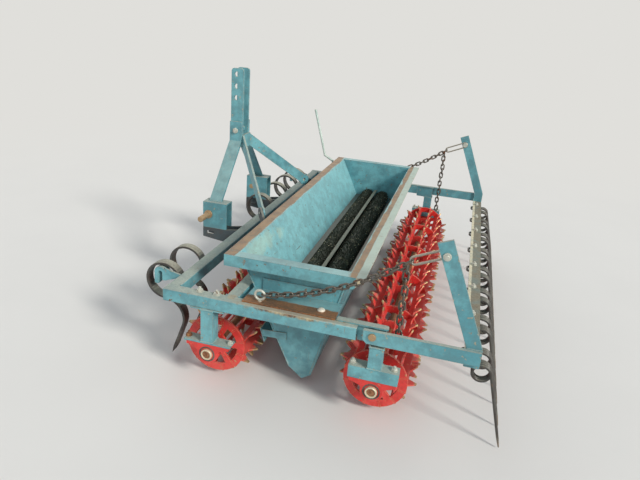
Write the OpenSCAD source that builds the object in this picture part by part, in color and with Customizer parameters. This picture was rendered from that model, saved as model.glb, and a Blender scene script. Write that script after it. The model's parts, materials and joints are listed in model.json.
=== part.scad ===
// Mounted seed drill: a frame carried by two toothed cage rollers, with a seed
// hopper over two feed brushes, a three-point headstock, spring tines in front
// and a hinged tine harrow behind.
//
// X points forward (direction of travel), Y to the left, Z up from the ground.
// Lengths along the drill are first given as "s", the distance back from the
// front face of the front tube, and X(s) turns them into the part's own X.

/* [Frame] */
// Side of the square frame tubes
tube = 40; // [36:1:44]
// Wall of the frame tubes
tube_wall = 4; // [3:0.5:5]
// Corner radius of the frame tubes
tube_r = 4; // [3:0.5:5]
// Height of the frame's top face above the ground
frame_top = 322; // [316:1:330]
// Half of the frame's overall width
frame_half = 820; // [800:5:840]
// Length of the side members
member_len = 603; // [590:1:610]
// Distance back to the second cross tube
cross_s = 192; // [188:1:196]

/* [Rollers] */
// Distance back to the front roller's axis
front_axis_s = 145; // [140:1:150]
// Distance back to the rear roller's axis
rear_axis_s = 665; // [660:1:670]
// Toothed bars around each roller
bar_count = 12; // [10:2:14]
// Half of the length of a roller over its end discs
roller_half = 752; // [740:1:756]
// Radius of the roller discs
disc_r = 98; // [94:1:100]
// Thickness of the roller discs
disc_t = 8; // [6:1:10]
// Thickness of the toothed bars
bar_t = 5; // [4:0.5:6]
// Radius at which a bar's teeth start
root_r = 100; // [98:1:104]
// Length of a tooth along its own slope
tooth_len = 26; // [20:1:28]
// Distance between neighbouring teeth on a bar
tooth_pitch = 58; // [54:1:64]
// Angle by which the teeth are bent to either side
tooth_bend = 15; // [10:1:20]
// Diameter of the roller shafts
shaft_d = 25; // [24:1:26]
// Discs on each roller
disc_count = 6; // [4:1:7]

/* [Hopper] */
// Height of the hopper's rim
rim_z = 435; // [430:1:440]
// Distance back to the inner front edge of the rim
hopper_front_s = 200; // [198:1:204]
// Distance back to the inner rear edge of the rim
hopper_rear_s = 550; // [545:1:555]
// Half of the hopper's inner length
hopper_half = 700; // [690:1:704]
// Thickness of the hopper's sheet
sheet = 3; // [2.5:0.5:4]
// Depth of the folded lip at the two ends
lip_drop = 38; // [34:1:42]
// Width of the folded lip all round
lip_w = 38; // [34:1:40]
// Diameter of the feed brushes
brush_d = 72; // [68:1:72]
// Height of the brush axes
brush_z = 262; // [260:1:266]

/* [Headstock] */
// Height of the top of the mast
mast_top = 913; // [900:1:925]
// Half of the gap between the mast plates
mast_gap = 24; // [22:1:26]
// Width of the mast plates and their legs
mast_w = 52; // [50:1:56]
// Thickness of the mast plates and their legs
mast_t = 10; // [8:1:12]
// Half of the distance between the lower link brackets
link_half = 225; // [220:1:230]
// Diameter of the lower link pins
link_pin_d = 22; // [21:1:22]
// Height of the lower link pins
link_z = 365; // [360:1:370]
// Distance from the front tube's face forward to the link pins
link_reach = 126; // [122:1:130]

/* [Front tines] */
// Radius of the spring hoop's centre line
hoop_r = 60; // [50:1:62]
// Thickness of the spring strip
strip_t = 8; // [6:1:9]
// Width of the spring strip
strip_w = 32; // [28:1:36]

/* [Rear harrow] */
// Distance back to the harrow's pivot
pivot_s = 649; // [646:1:652]
// Height of the harrow's pivot
pivot_z = 304; // [303:0.5:305]
// Diameter of the pivot pins
pivot_d = 22; // [20:1:24]
// Thickness of the arms' flat bar
arm_t = 12; // [10:1:12]
// Distance back to the rear edge of the harrow's crossbar
crossbar_s = 945; // [940:1:950]
// Radius of the harrow tines' coils
coil_r = 30; // [28:1:31]
// Diameter of the harrow tines' wire
wire_d = 9; // [8:0.5:10]
// Distance between neighbouring harrow tines
tine_pitch = 208; // [200:1:210]
// Distance back to the tips of the harrow tines
tine_tip_s = 1050; // [1046:1:1054]

/* [Hidden] */

// Gap left where a turning face runs close to a fixed one.
run_gap = 0.3;
// Clearance kept between bodies that move past each other.
clear = 6;

// The part's origin is under the middle of its length.
front_reach = link_reach + 24;
x_mid = (tine_tip_s - front_reach) / 2;
function X(s) = x_mid - s;

frame_bot = frame_top - tube;
member_y = frame_half - tube / 2;
inner_y = frame_half - tube;

// The rollers stand on two bars each, so the height of their axes follows
// from the slope of the bars nearest to the ground.
rest_angle = 180 / bar_count;
tooth_rise = tooth_len * cos(tooth_bend);
tip_side = tooth_rise * tan(tooth_bend) + bar_t / 2;
axis_z = (root_r + tooth_rise) * cos(rest_angle) + tip_side * sin(rest_angle);

// The pillow blocks hang base up from their plates.
block_h = 36.5;
block_top = axis_z + block_h;
block_y = member_y;
collar_r = 18;
foot_t = 6;
box_h = 40;
rear_leg_top = 271;

teal = [0.38, 0.65, 0.70];
teal_dust = [0.60, 0.66, 0.62];
red = [0.86, 0.16, 0.15];
black = [0.10, 0.11, 0.11];
rust = [0.55, 0.38, 0.25];
steel = [0.62, 0.62, 0.58];
chain_grey = [0.30, 0.30, 0.29];
bristle = [0.20, 0.18, 0.12];

// Helpers.

// Solid square section with rounded corners, centred.
module round_square(w, h, r) {
    union() {
        square([w - 2 * r, h], center = true);
        square([w, h - 2 * r], center = true);
        for (x = [-1, 1], y = [-1, 1])
            translate([x * (w / 2 - r), y * (h / 2 - r)])
                circle(r, $fn = 24);
    }
}

// Stretches a flat outline, drawn in X and Z, sideways over a thickness.
module side_plate(y, t) {
    translate([0, y + t / 2, 0])
        rotate([90, 0, 0])
            linear_extrude(t)
                children();
}

// A pin or bore along Y, from y1 to y2, at distance s and height z.
module pin_y(s, z, y1, y2, d, fn = 48) {
    translate([X(s), y2, z])
        rotate([90, 0, 0])
            cylinder(h = y2 - y1, d = d, $fn = fn);
}

// The same piece on both sides of the drill.
module both_sides() {
    children();
    mirror([0, 1, 0]) children();
}

// Flat bar between two points of the side view.
module bar_2d(s1, z1, s2, z2, w) {
    len = norm([s2 - s1, z2 - z1]);
    translate([X(s1), z1])
        rotate(atan2(z2 - z1, X(s2) - X(s1)))
            translate([0, -w / 2])
                square([len, w]);
}

// Part of a ring between two angles, the second one larger, at most 180
// degrees apart from each other.
module ring_part(r, t, a1, a2) {
    far = 2 * (r + t);
    difference() {
        circle(r + t / 2, $fn = 96);
        circle(r - t / 2, $fn = 96);
        rotate(a1) translate([-far, -far]) square([2 * far, far]);
        rotate(a2) translate([-far, 0]) square([2 * far, far]);
    }
}

// The frame.

module tube_x(s1, s2, y, w) {
    translate([X(s2), y, frame_top - tube / 2])
        rotate([90, 0, 90])
            linear_extrude(s2 - s1)
                round_square(w, w, w < tube ? 1 : tube_r);
}

module tube_y(s, w, half) {
    translate([X(s + tube / 2), half, frame_top - tube / 2])
        rotate([90, 0, 0])
            linear_extrude(2 * half)
                round_square(w, w, w < tube ? 1 : tube_r);
}

// Side members and two cross tubes, all of one hollow section, with the
// plates that carry the harrow's pivots behind the members.
module main_frame() color(teal) {
    bore = tube - 2 * tube_wall;
    difference() {
        union() {
            both_sides() tube_x(0, member_len, member_y, tube);
            tube_y(0, tube, member_y);
            tube_y(cross_s, tube, member_y);
        }
        both_sides() tube_x(tube_wall, member_len + 1, member_y, bore);
        tube_y(0, bore, member_y);
        tube_y(cross_s, bore, member_y);
    }
    both_sides() pivot_plate();
}

// Upright plate that slides into the member's end and stands on the rear
// leg, with a narrow cap plate over it.
module pivot_plate() {
    plate_y = inner_y + tube_wall + 5;
    side_plate(plate_y, 10)
        polygon([[X(570), frame_bot + tube_wall], [X(member_len), frame_bot + tube_wall],
            [X(member_len), rear_leg_top], [X(684), rear_leg_top],
            [X(684), frame_top], [X(member_len), frame_top],
            [X(member_len), frame_top - tube_wall], [X(570), frame_top - tube_wall]]);
    difference() {
        translate([X(690), inner_y, frame_top])
            cube([150, 22, 5]);
        translate([X(690), inner_y, frame_top - 1])
            difference() {
                cube([8, 8, 7]);
                translate([8, 8, 0]) cylinder(h = 7, r = 8, $fn = 32);
            }
    }
}

// Legs and roller bearings.

// Square leg under the member with a flange plate above and a foot below.
module front_roller_legs() color(teal) both_sides() {
    foot_z = block_top;
    leg_z = foot_z + foot_t;
    translate([X(front_axis_s) - tube / 2, inner_y, leg_z])
        difference() {
            cube([tube, tube, frame_bot - 5 - leg_z]);
            translate([tube_wall, tube_wall, -1])
                cube([tube - 2 * tube_wall, tube - 2 * tube_wall, frame_bot]);
        }
    translate([X(front_axis_s) - 55, inner_y - 26, frame_bot - 5])
        difference() {
            cube([110, tube + 26, 5]);
            for (x = [27, 83])
                translate([x, 12, -1]) cylinder(h = 7, d = 12, $fn = 32);
        }
    translate([X(front_axis_s) - 77, inner_y, foot_z])
        cube([154, tube, foot_t]);
}

// Square leg on a short box section.
module rear_roller_legs() color(teal) both_sides() {
    box_top = block_top + box_h;
    translate([X(rear_axis_s) - 72, inner_y, block_top])
        difference() {
            cube([147, tube, box_h]);
            translate([-1, tube_wall, tube_wall])
                cube([149, tube - 2 * tube_wall, box_h - 2 * tube_wall]);
        }
    translate([X(rear_axis_s) - tube / 2, inner_y, box_top])
        difference() {
            cube([tube, tube, rear_leg_top - box_top]);
            translate([tube_wall, tube_wall, -1])
                cube([tube - 2 * tube_wall, tube - 2 * tube_wall, rear_leg_top - box_top - 3]);
        }
}

// Cast pillow block with its base upward: base, waist and ring round the
// shaft's collar.
module bearing_housing(s) {
    translate([X(s), 0, axis_z])
        side_plate(block_y, 34)
            difference() {
                union() {
                    translate([-70, block_h - 14]) square([140, 14]);
                    polygon([[-62, block_h - 14], [-40, block_h - 22], [-33.5, 8],
                        [33.5, 8], [40, block_h - 22], [62, block_h - 14]]);
                    circle(34.5, $fn = 64);
                }
                circle(collar_r + run_gap, $fn = 64);
            }
}

module front_bearing_housings() color(red) both_sides() bearing_housing(front_axis_s);
module rear_bearing_housings() color(red) both_sides() bearing_housing(rear_axis_s);

// The rollers.

// Round shaft with the bearings' inner rings on it.
module roller_shaft(s) {
    pin_y(s, axis_z, -frame_half - 2, frame_half + 2, shaft_d);
    both_sides() pin_y(s, axis_z, block_y - 19, block_y + 16, 2 * collar_r, 64);
}

// Plate disc with arched openings between its hub and its rim.
module roller_disc() {
    openings = 6;
    difference() {
        circle(disc_r, $fn = 96);
        circle(shaft_d / 2, $fn = 48);
        for (k = [0:openings - 1])
            rotate(k * 360 / openings)
                difference() {
                    ring_part(56, 34, 0, 48);
                    for (a = [0, 48])
                        rotate(a) translate([56, 0]) square([40, 6], center = true);
                }
    }
}

module roller_discs(s) {
    step = (2 * roller_half - disc_t) / (disc_count - 1);
    for (k = [0:disc_count - 1])
        translate([X(s), 0, axis_z])
            side_plate(-roller_half + disc_t / 2 + k * step, disc_t)
                roller_disc();
}

tooth_n = floor((2 * roller_half - 20) / tooth_pitch);
tooth_y = [for (k = [0:tooth_n - 1]) (k - (tooth_n - 1) / 2) * tooth_pitch];

// Outline of every second tooth of a bar, as seen along the travel.
function comb_points(first) = concat(
    [[-roller_half, -6], [roller_half, -6], [roller_half, 0]],
    [for (k = [0:tooth_n - 1])
        let (j = tooth_n - 1 - k)
            if (j % 2 == first)
                each [[tooth_y[j] + 17, 0], [tooth_y[j] + 3, tooth_rise],
                    [tooth_y[j] - 3, tooth_rise], [tooth_y[j] - 17, 0]]],
    [[-roller_half, 0]]);

// Section of a bar whose teeth lean to one side: side is 1 or -1.
function bar_section(side) =
    let (lean = side * tooth_rise * tan(tooth_bend))
    [[-bar_t / 2, -6], [bar_t / 2, -6], [bar_t / 2, 0], [bar_t / 2 + lean, tooth_rise],
        [-bar_t / 2 + lean, tooth_rise], [-bar_t / 2, 0]];

// Flat bar with its teeth bent by turns to one side and to the other.
module toothed_bar() {
    translate([-bar_t / 2, -roller_half, disc_r - 22])
        cube([bar_t, 2 * roller_half, root_r - disc_r + 22]);
    for (first = [0, 1])
        translate([0, 0, root_r])
            intersection() {
                rotate([90, 0, 90])
                    linear_extrude(40, center = true)
                        polygon(comb_points(first));
                rotate([90, 0, 0])
                    linear_extrude(2 * roller_half, center = true)
                        polygon(bar_section(1 - 2 * first));
            }
}

module roller_bars(s) {
    translate([X(s), 0, axis_z])
        for (k = [0:bar_count - 1])
            rotate([0, (k + 0.5) * 360 / bar_count, 0])
                toothed_bar();
}

module front_roller_shaft() color(steel) roller_shaft(front_axis_s);
module front_roller_discs() color(red) difference() {
    roller_discs(front_axis_s);
    bar_slots(front_axis_s);
}
module front_roller_bars() color(red) roller_bars(front_axis_s);
module rear_roller_shaft() color(steel) roller_shaft(rear_axis_s);
module rear_roller_discs() color(red) difference() {
    roller_discs(rear_axis_s);
    bar_slots(rear_axis_s);
}
module rear_roller_bars() color(red) roller_bars(rear_axis_s);

// Notches in the discs' rims that hold the bars.
module bar_slots(s) {
    translate([X(s), 0, axis_z])
        for (k = [0:bar_count - 1])
            rotate([0, (k + 0.5) * 360 / bar_count, 0])
                translate([-bar_t / 2, -roller_half - 1, disc_r - 22])
                    cube([bar_t, 2 * roller_half + 2, 40]);
}

// The hopper.

// Points where the sloping walls end at the bottom, near the ground.
front_foot = [380, 66];
rear_foot = [450, 50];
front_slope = (front_foot[0] - hopper_front_s) / (rim_z - front_foot[1]);
rear_slope = (hopper_rear_s - rear_foot[0]) / (rim_z - rear_foot[1]);
function front_wall_s(z) = hopper_front_s + (rim_z - z) * front_slope;
function rear_wall_s(z) = hopper_rear_s - (rim_z - z) * rear_slope;

// Front and rear walls with their folded lips.
module hopper_walls() color(teal) {
    translate([0, hopper_half, 0]) rotate([90, 0, 0]) linear_extrude(2 * hopper_half) {
        polygon([[X(front_wall_s(rim_z)), rim_z], [X(front_foot[0]), front_foot[1]],
            [X(front_foot[0]) + sheet, front_foot[1]],
            [X(front_wall_s(rim_z - sheet)) + sheet, rim_z - sheet],
            [X(hopper_front_s - lip_w), rim_z - sheet], [X(hopper_front_s - lip_w), rim_z]]);
        polygon([[X(rear_wall_s(rim_z)), rim_z], [X(rear_foot[0]), rear_foot[1]],
            [X(rear_foot[0]) - sheet, rear_foot[1]],
            [X(rear_wall_s(rim_z - sheet)) - sheet, rim_z - sheet],
            [X(hopper_rear_s + lip_w + 12), rim_z - sheet],
            [X(hopper_rear_s + lip_w + 12), rim_z]]);
    }
}

// V-shaped end plates, folded outward and down at the rim.
module hopper_end_plates() color(teal) both_sides() {
    y0 = hopper_half + 0.0;
    difference() {
        side_plate(y0 + sheet / 2, sheet)
            polygon([[X(hopper_front_s - 3), rim_z], [X(front_foot[0] - 3), front_foot[1]],
                [X(424), 30], [X(rear_foot[0] + 4), rear_foot[1]],
                [X(hopper_rear_s + 3), rim_z]]);
        for (s = brush_s)
            pin_y(s, brush_z, y0 - 1, y0 + sheet + 1, brush_shaft_d + 2 * run_gap);
    }
    translate([X(hopper_rear_s + lip_w + 12), y0, rim_z - sheet])
        cube([hopper_rear_s - hopper_front_s + 2 * lip_w + 12, lip_w, sheet]);
    side_plate(y0 + lip_w - sheet / 2, sheet)
        polygon([[X(hopper_front_s - lip_w), rim_z - sheet],
            [X(hopper_front_s - lip_w), rim_z - lip_drop],
            [X(hopper_rear_s + lip_w - 22), rim_z - lip_drop],
            [X(hopper_rear_s + lip_w + 12), rim_z - sheet]]);
}

// Distances back to the axes of the two feed brushes.
brush_s = [352, 430];
brush_shaft_d = 16;
trough_r = brush_d / 2 + clear;
outlet_pitch = 100;
outlet_n = 14;

// Two half-round troughs under the brushes with a ridge between them, a
// ledge up to each wall and a row of seed outlets in each trough.
module hopper_floor() color(steel) {
    ledge_z = brush_z - 6;
    difference() {
        translate([0, hopper_half, 0]) rotate([90, 0, 0]) linear_extrude(2 * hopper_half) {
            for (s = brush_s)
                translate([X(s), brush_z])
                    difference() {
                        circle(trough_r + 2.5, $fn = 96);
                        circle(trough_r, $fn = 96);
                        translate([-100, -6]) square([200, 100]);
                        translate([s == brush_s[0] ? -100 - (brush_s[1] - brush_s[0]) / 2
                            : (brush_s[1] - brush_s[0]) / 2, -100]) square([100, 200]);
                    }
            polygon([[X(brush_s[0]) + trough_r, ledge_z - 2.5],
                [X(front_wall_s(ledge_z - 2.5)), ledge_z - 2.5],
                [X(front_wall_s(ledge_z)), ledge_z], [X(brush_s[0]) + trough_r, ledge_z]]);
            polygon([[X(brush_s[1]) - trough_r, ledge_z - 2.5],
                [X(rear_wall_s(ledge_z - 2.5)), ledge_z - 2.5],
                [X(rear_wall_s(ledge_z)), ledge_z], [X(brush_s[1]) - trough_r, ledge_z]]);
        }
        for (s = brush_s, k = [0:outlet_n - 1])
            translate([X(s), (k - (outlet_n - 1) / 2) * outlet_pitch, brush_z - trough_r - 6])
                cylinder(h = 12, d = 18, $fn = 32);
    }
}

// Angle pieces that carry the hopper on the side members.
module hopper_straps() color(rust) both_sides() {
    y1 = hopper_half + sheet;
    translate([X(535), y1, frame_top])
        cube([285, inner_y + 22 - y1, 4]);
    translate([X(505), y1, frame_top + 4])
        cube([225, 4, 38]);
}

module brush(s) {
    pin_y(s, brush_z, -hopper_half + clear, hopper_half - clear, brush_d, 64);
}

module brush_shaft(s) {
    both_sides() {
        pin_y(s, brush_z, hopper_half - clear, hopper_half + 30, brush_shaft_d);
        pin_y(s, brush_z, hopper_half + sheet + 1, hopper_half + 14, 26);
    }
}

module front_brush() color(bristle) brush(brush_s[0]);
module rear_brush() color(bristle) brush(brush_s[1]);
module front_brush_shaft() color(steel) brush_shaft(brush_s[0]);
module rear_brush_shaft() color(steel) brush_shaft(brush_s[1]);

// Thin flat strip behind the front roller, on arms outside the hopper's ends.
module roller_scraper() color(teal) {
    y1 = hopper_half + sheet;
    translate([0, y1 + 4, 0]) rotate([90, 0, 0]) linear_extrude(2 * y1 + 8)
        bar_2d(278, 184, 292, 140, 4);
    both_sides() side_plate(y1 + 2, 4)
        bar_2d(284, 170, 366, 175, 24);
}

// Bent rod on the right side that sets the seed rate.
lever_path = [[7, 669], [78, 429], [126, 402], [126, 330]];
module seed_lever() color(teal_dust) {
    for (k = [0:len(lever_path) - 2]) {
        a = lever_path[k];
        b = lever_path[k + 1];
        translate([X(a[0]), -762, a[1]])
            rotate([0, atan2(X(b[0]) - X(a[0]), b[1] - a[1]), 0])
                cylinder(h = norm(b - a), d = 12, $fn = 32);
        translate([X(b[0]), -762, b[1]])
            sphere(d = 13, $fn = 32);
    }
    translate([X(126) - 20, -inner_y - 5, frame_top])
        cube([40, 30, 8]);
}

// The headstock.

mast_s = -107;
mast_foot = 620;
mast_y = mast_gap + mast_t / 2;
bracket_top = 415;
top_holes = [890, 843, 798];

// Two upright plates with three holes for the top link's pin.
module mast_plates() color(teal) {
    difference() {
        both_sides() side_plate(mast_y, mast_t)
            difference() {
                union() {
                    translate([X(mast_s) - mast_w / 2, mast_foot])
                        square([mast_w, mast_top - mast_foot - 12]);
                    translate([X(mast_s) - mast_w / 2 + 12, mast_foot])
                        square([mast_w - 24, mast_top - mast_foot]);
                    for (x = [-1, 1])
                        translate([X(mast_s) + x * (mast_w / 2 - 12), mast_top - 12])
                            circle(12, $fn = 32);
                }
            }
        for (z = top_holes)
            pin_y(mast_s - 4, z, -60, 60, 20);
    }
    pin_y(mast_s, 667, -mast_gap, mast_gap, 26);
    pin_y(mast_s, 667, -mast_y - mast_t / 2 - 9, mast_y + mast_t / 2 + 9, 16);
}

// Flat legs that spread from the mast down to the link brackets.
module mast_legs() color(teal) both_sides() {
    top = [mast_y + mast_t, mast_foot + 84];
    bend = [mast_y + mast_t, mast_foot];
    foot = [link_half, bracket_top];
    difference() {
        translate([X(mast_s) - mast_w / 2, 0, 0])
            rotate([90, 0, 90])
                linear_extrude(mast_w)
                    polygon([[top[0] - mast_t / 2, top[1]], [bend[0] - mast_t / 2, bend[1]],
                        [foot[0] - mast_t * 0.7, foot[1]], [foot[0] + mast_t * 0.7, foot[1]],
                        [bend[0] + mast_t / 2, bend[1] + 6], [top[0] + mast_t / 2, top[1]]]);
        pin_y(mast_s, 667, mast_y, mast_y + 2 * mast_t, 16.6);
    }
}

// Bent strap behind the mast whose two wings run back and down to tabs.
stay_low = [108, 270, 415];
module mast_stays() color(teal) {
    x_back = X(mast_s) - mast_w / 2;
    half = mast_y + mast_t / 2;
    translate([x_back - 8, -half, mast_foot - 24])
        cube([8, 2 * half, 56]);
    both_sides() stay_wing(x_back - 4, half - 2, mast_foot + 4);
}

// Upright flat bar from the mast's strap to its tab, with a round end.
module stay_wing(x0, y0, z0) {
    dx = X(stay_low[0]) - x0;
    dy = stay_low[1] - y0;
    plan = norm([dx, dy]);
    translate([x0, y0, 0])
        rotate([0, 0, atan2(dy, dx)])
            rotate([90, 0, 0])
                linear_extrude(8, center = true)
                    difference() {
                        union() {
                            polygon([[0, z0 - 26], [plan, stay_low[2] - 24],
                                [plan, stay_low[2] + 24], [0, z0 + 26]]);
                            translate([plan, stay_low[2]]) circle(24, $fn = 48);
                        }
                        translate([plan, stay_low[2]]) circle(7, $fn = 32);
                    }
}

// Plates in line with the stays, standing on the second cross tube.
module stay_tabs() color(teal) both_sides() {
    x0 = X(mast_s) - mast_w / 2 - 4;
    y0 = mast_y + mast_t / 2 - 2;
    dx = X(stay_low[0]) - x0;
    dy = stay_low[1] - y0;
    plan = norm([dx, dy]);
    slope = atan2(dy, dx);
    run = plan * (X(cross_s + 4) - x0) / dx;
    translate([x0, y0, 0])
        rotate([0, 0, slope])
            translate([0, -8, 0])
                rotate([90, 0, 0])
                    linear_extrude(8, center = true)
                        difference() {
                            union() {
                                polygon([[plan - 18, stay_low[2] - 12], [run - 20, frame_top],
                                    [run + 34, frame_top], [plan + 12, stay_low[2] + 16]]);
                                translate([plan, stay_low[2]]) circle(20, $fn = 48);
                            }
                            translate([plan, stay_low[2]]) circle(7, $fn = 32);
                        }
}

// Channel boxes that carry the lower link pins.
module link_brackets() color(teal) both_sides() {
    front = -150;
    back = -50;
    half_w = 27;
    translate([0, link_half, 0])
        difference() {
            translate([X(back), -half_w, 309])
                cube([back - front, 2 * half_w, bracket_top - 309]);
            translate([X(back) - 1, -half_w + 6, 300])
                cube([back - front - 5, 2 * half_w - 12, bracket_top - 306]);
            translate([X(back) - 1, -half_w - 1, 300])
                rotate([0, 0, 0])
                    cube([1, 2 * half_w + 2, 200]);
            pin_y(-link_reach, link_z, -60, 60, link_pin_d + 0.0);
        }
}

// Gusset bases that stand forward from the front tube.
module link_bracket_bases() color(black) both_sides() {
    for (y = [link_half - 24, link_half + 24])
        side_plate(y, 6)
            difference() {
                polygon([[X(0), frame_top - 4], [X(0), frame_bot - 8], [X(-40), 255],
                    [X(-150), 268], [X(-150), 309], [X(-50), 309]]);
                union() {
                    translate([X(-128), 289]) circle(6, $fn = 32);
                    translate([X(-108), 289]) circle(6, $fn = 32);
                    translate([X(-108), 283]) square([20, 12]);
                }
            }
}

// Category 1 pins that stick out sideways, with a collar each.
module link_pins() color(rust) both_sides() {
    pin_y(-link_reach, link_z, link_half - 27, link_half + 100, link_pin_d);
    pin_y(-link_reach, link_z, link_half + 27, link_half + 33, 34);
}

// Front tines.

// Each row: place across the drill, width of the strip.
front_tine_rows = [[690, strip_w], [540, strip_w], [-160, strip_w], [-375, strip_w],
    [-540, strip_w], [-690, strip_w]];
hoop_c = [X(-hoop_r - strip_t / 2), 285];
lower_r = 70;
lower_c = hoop_c - [0, hoop_r + lower_r];

// Points on an arc about c from one angle to another.
function arc(c, r, a1, a2, n) =
    [for (k = [0:n]) let (a = a1 + (a2 - a1) * k / n) c + r * [cos(a), sin(a)]];

// Spring strip: up the front of the tube, round in a hoop, back under it and
// down to a point.
module front_tine_outline() {
    h = strip_t / 2;
    way = [cos(-70), sin(-70)];
    left = [-way[1], way[0]];
    knee = lower_c + lower_r * [cos(200), sin(200)];
    polygon(concat(
        [[X(0), frame_bot - 20]],
        arc(hoop_c, hoop_r + h, 180, -90, 30),
        arc(lower_c, lower_r - h, 90 + 8, 200, 12),
        [knee + 96 * way + h * left, knee + 122 * way, knee + 96 * way - h * left],
        arc(lower_c, lower_r + h, 200, 90, 13),
        arc(hoop_c, hoop_r - h, -90 + 7, 180, 28),
        [[X(-strip_t), frame_bot - 20]]));
}

module front_tines() color(black) {
    for (row = front_tine_rows)
        side_plate(row[0], row[1])
            front_tine_outline();
}

// Cap plates that hold the strips against the front of the tube.
module front_tine_clamps() color(black) {
    for (row = front_tine_rows) {
        half = row[1] / 2 + 18;
        translate([X(-strip_t), row[0] - half, frame_bot - 16])
            cube([6, 2 * half, 18]);
        for (d = [-half, row[1] / 2 + 1])
            translate([X(0), row[0] + d, frame_bot - 12])
                cube([strip_t, 17, 14]);
    }
}

// Wedge plates beside the outer tines, with a hooked end inside the hoops.
module front_tine_guards() color(teal) both_sides() {
    y = front_tine_rows[0][0];
    plate_y = y + strip_w / 2 + 3.5;
    side_plate(plate_y, 6)
        polygon([[X(0), frame_top - 1], [X(-55), 334], [X(-55), 290], [X(0), frame_top - 12]]);
    translate([0, plate_y + 3, 0])
        rotate([90, 0, 0])
            linear_extrude(28)
                difference() {
                    union() {
                        translate([X(-72), 315]) circle(21, $fn = 48);
                        translate([X(-72), 275]) square([21, 40]);
                        translate([X(-72) - 21, 290]) square([21, 25]);
                    }
                    translate([X(-72), 315]) circle(7, $fn = 32);
                    translate([X(-72) - 7, 270]) square([14, 45]);
                }
}

// The harrow.

arm_y = frame_half - arm_t / 2;
arm_front_s = 622;
arm_w = 42;
arm_mid = frame_top - arm_w / 2;
upright_t = 8;
upright_y = frame_half - arm_t - upright_t / 2;
hole_s = 813;
hole_z = 575;

// Flat side arms with the pivot bores, cut off below at the front corner.
module harrow_arms() color(teal) both_sides() {
    low = arm_mid - arm_w / 2;
    difference() {
        side_plate(arm_y, arm_t)
            polygon([[X(arm_front_s), low + 12], [X(arm_front_s + 12), low], [X(crossbar_s), low],
                [X(crossbar_s), low + arm_w], [X(arm_front_s), low + arm_w]]);
        pin_y(pivot_s, pivot_z, arm_y - 20, arm_y + 20, pivot_d + 0.4);
    }
}

// Angle section across the back with a row of bolt holes.
module harrow_crossbar() color(teal) {
    half = frame_half - arm_t - upright_t;
    difference() {
        translate([0, half, 0]) rotate([90, 0, 0]) linear_extrude(2 * half)
            polygon([[X(crossbar_s), frame_bot - 16], [X(crossbar_s) + 6, frame_bot - 16],
                [X(crossbar_s) + 6, frame_bot - 6], [X(crossbar_s) + 42, frame_bot - 6],
                [X(crossbar_s) + 42, frame_bot], [X(crossbar_s), frame_bot]]);
        for (k = [-4:3])
            translate([X(crossbar_s) + 24, (k + 0.5) * tine_pitch, frame_bot - 10])
                cylinder(h = 12, d = 11, $fn = 32);
    }
}

// Leaning flat bars that take the chains.
module harrow_uprights() color(teal) both_sides() {
    difference() {
        side_plate(upright_y, upright_t)
            polygon([[X(945), frame_bot - 16], [X(903), frame_bot - 16], [X(903), frame_top],
                [X(783), 606], [X(822), 622], [X(945), frame_top + 4]]);
        pin_y(hole_s, hole_z, upright_y - 20, upright_y + 20, 12.4);
    }
}

// Pins through the uprights' upper holes.
module shackle_pins() color(steel) both_sides() {
    pin_y(hole_s, hole_z, chain_y - 8, upright_y + 14, 12);
    pin_y(hole_s, hole_z, chain_y - 13, chain_y - 8, 22);
    pin_y(hole_s, hole_z, upright_y + upright_t / 2, upright_y + upright_t / 2 + 6, 22);
}

coil_s = 958;
coil_z = 233;
tine_side = 37;

// Ribbed section of a close-wound coil, one rib for each turn.
function coil_points(turns) =
    let (p = wire_d - 1, r1 = coil_r, r2 = coil_r - wire_d, h = turns * p / 2)
    concat(
        [for (k = [0:turns - 1]) each [[r1 - 1.8, k * p - h], [r1, (k + 0.3) * p - h],
            [r1, (k + 0.7) * p - h]]],
        [[r1 - 1.8, h], [r2 + 1.8, h]],
        [for (k = [0:turns - 1]) let (j = turns - 1 - k)
            each [[r2, (j + 0.7) * p - h], [r2, (j + 0.3) * p - h], [r2 + 1.8, j * p - h]]]);

// Double tine of spring wire: a clamp under the crossbar, two coils and two
// prongs.
module harrow_tine() {
    translate([X(crossbar_s - 12), -38, frame_bot - 20])
        difference() {
            cube([26, 76, 14]);
            translate([12, 38, -1]) cylinder(h = 16, d = 11, $fn = 32);
        }
    for (side = [-1, 1]) {
        translate([X(coil_s), side * tine_side, coil_z])
            rotate([90, 0, 0])
                rotate_extrude($fn = 48)
                    polygon(coil_points(3));
        // Wire from the clamp back to the coil.
        rod([crossbar_s - 22, side * 30, frame_bot - 16],
            [coil_s - 10.3, side * 30, coil_z + 23.4]);
        // Prong from the coil down to the tip.
        rod([coil_s + 22.3, side * 44, coil_z - 11.9],
            [tine_tip_s - wire_d / 2 * 0.974, side * 44, 6]);
    }
}

// Round wire between two points, given as s, y and z.
module rod(a, b) {
    p = [X(a[0]), a[1], a[2]];
    q = [X(b[0]), b[1], b[2]];
    d = q - p;
    translate(p)
        rotate([0, acos(d[2] / norm(d)), atan2(d[1], d[0])])
            cylinder(h = norm(d), d = wire_d, $fn = 24);
}

module harrow_tines() color(black) {
    for (k = [-4:3])
        translate([0, (k + 0.5) * tine_pitch, 0])
            harrow_tine();
}

module pivot_pins() color(rust) both_sides()
    pin_y(pivot_s, pivot_z, inner_y + tube_wall + 10, frame_half + 5, pivot_d);

// The chains.

eye = [300, 784, 346];
chain_y = 784;
link_w = 22;
link_wire = 6;
link_in = 23;
shackle_in = 104;
chain_to_pin = norm([hole_s - eye[0], hole_z - eye[2]]);
chain_slope = atan2(hole_z - eye[2], hole_s - eye[0]);

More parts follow.
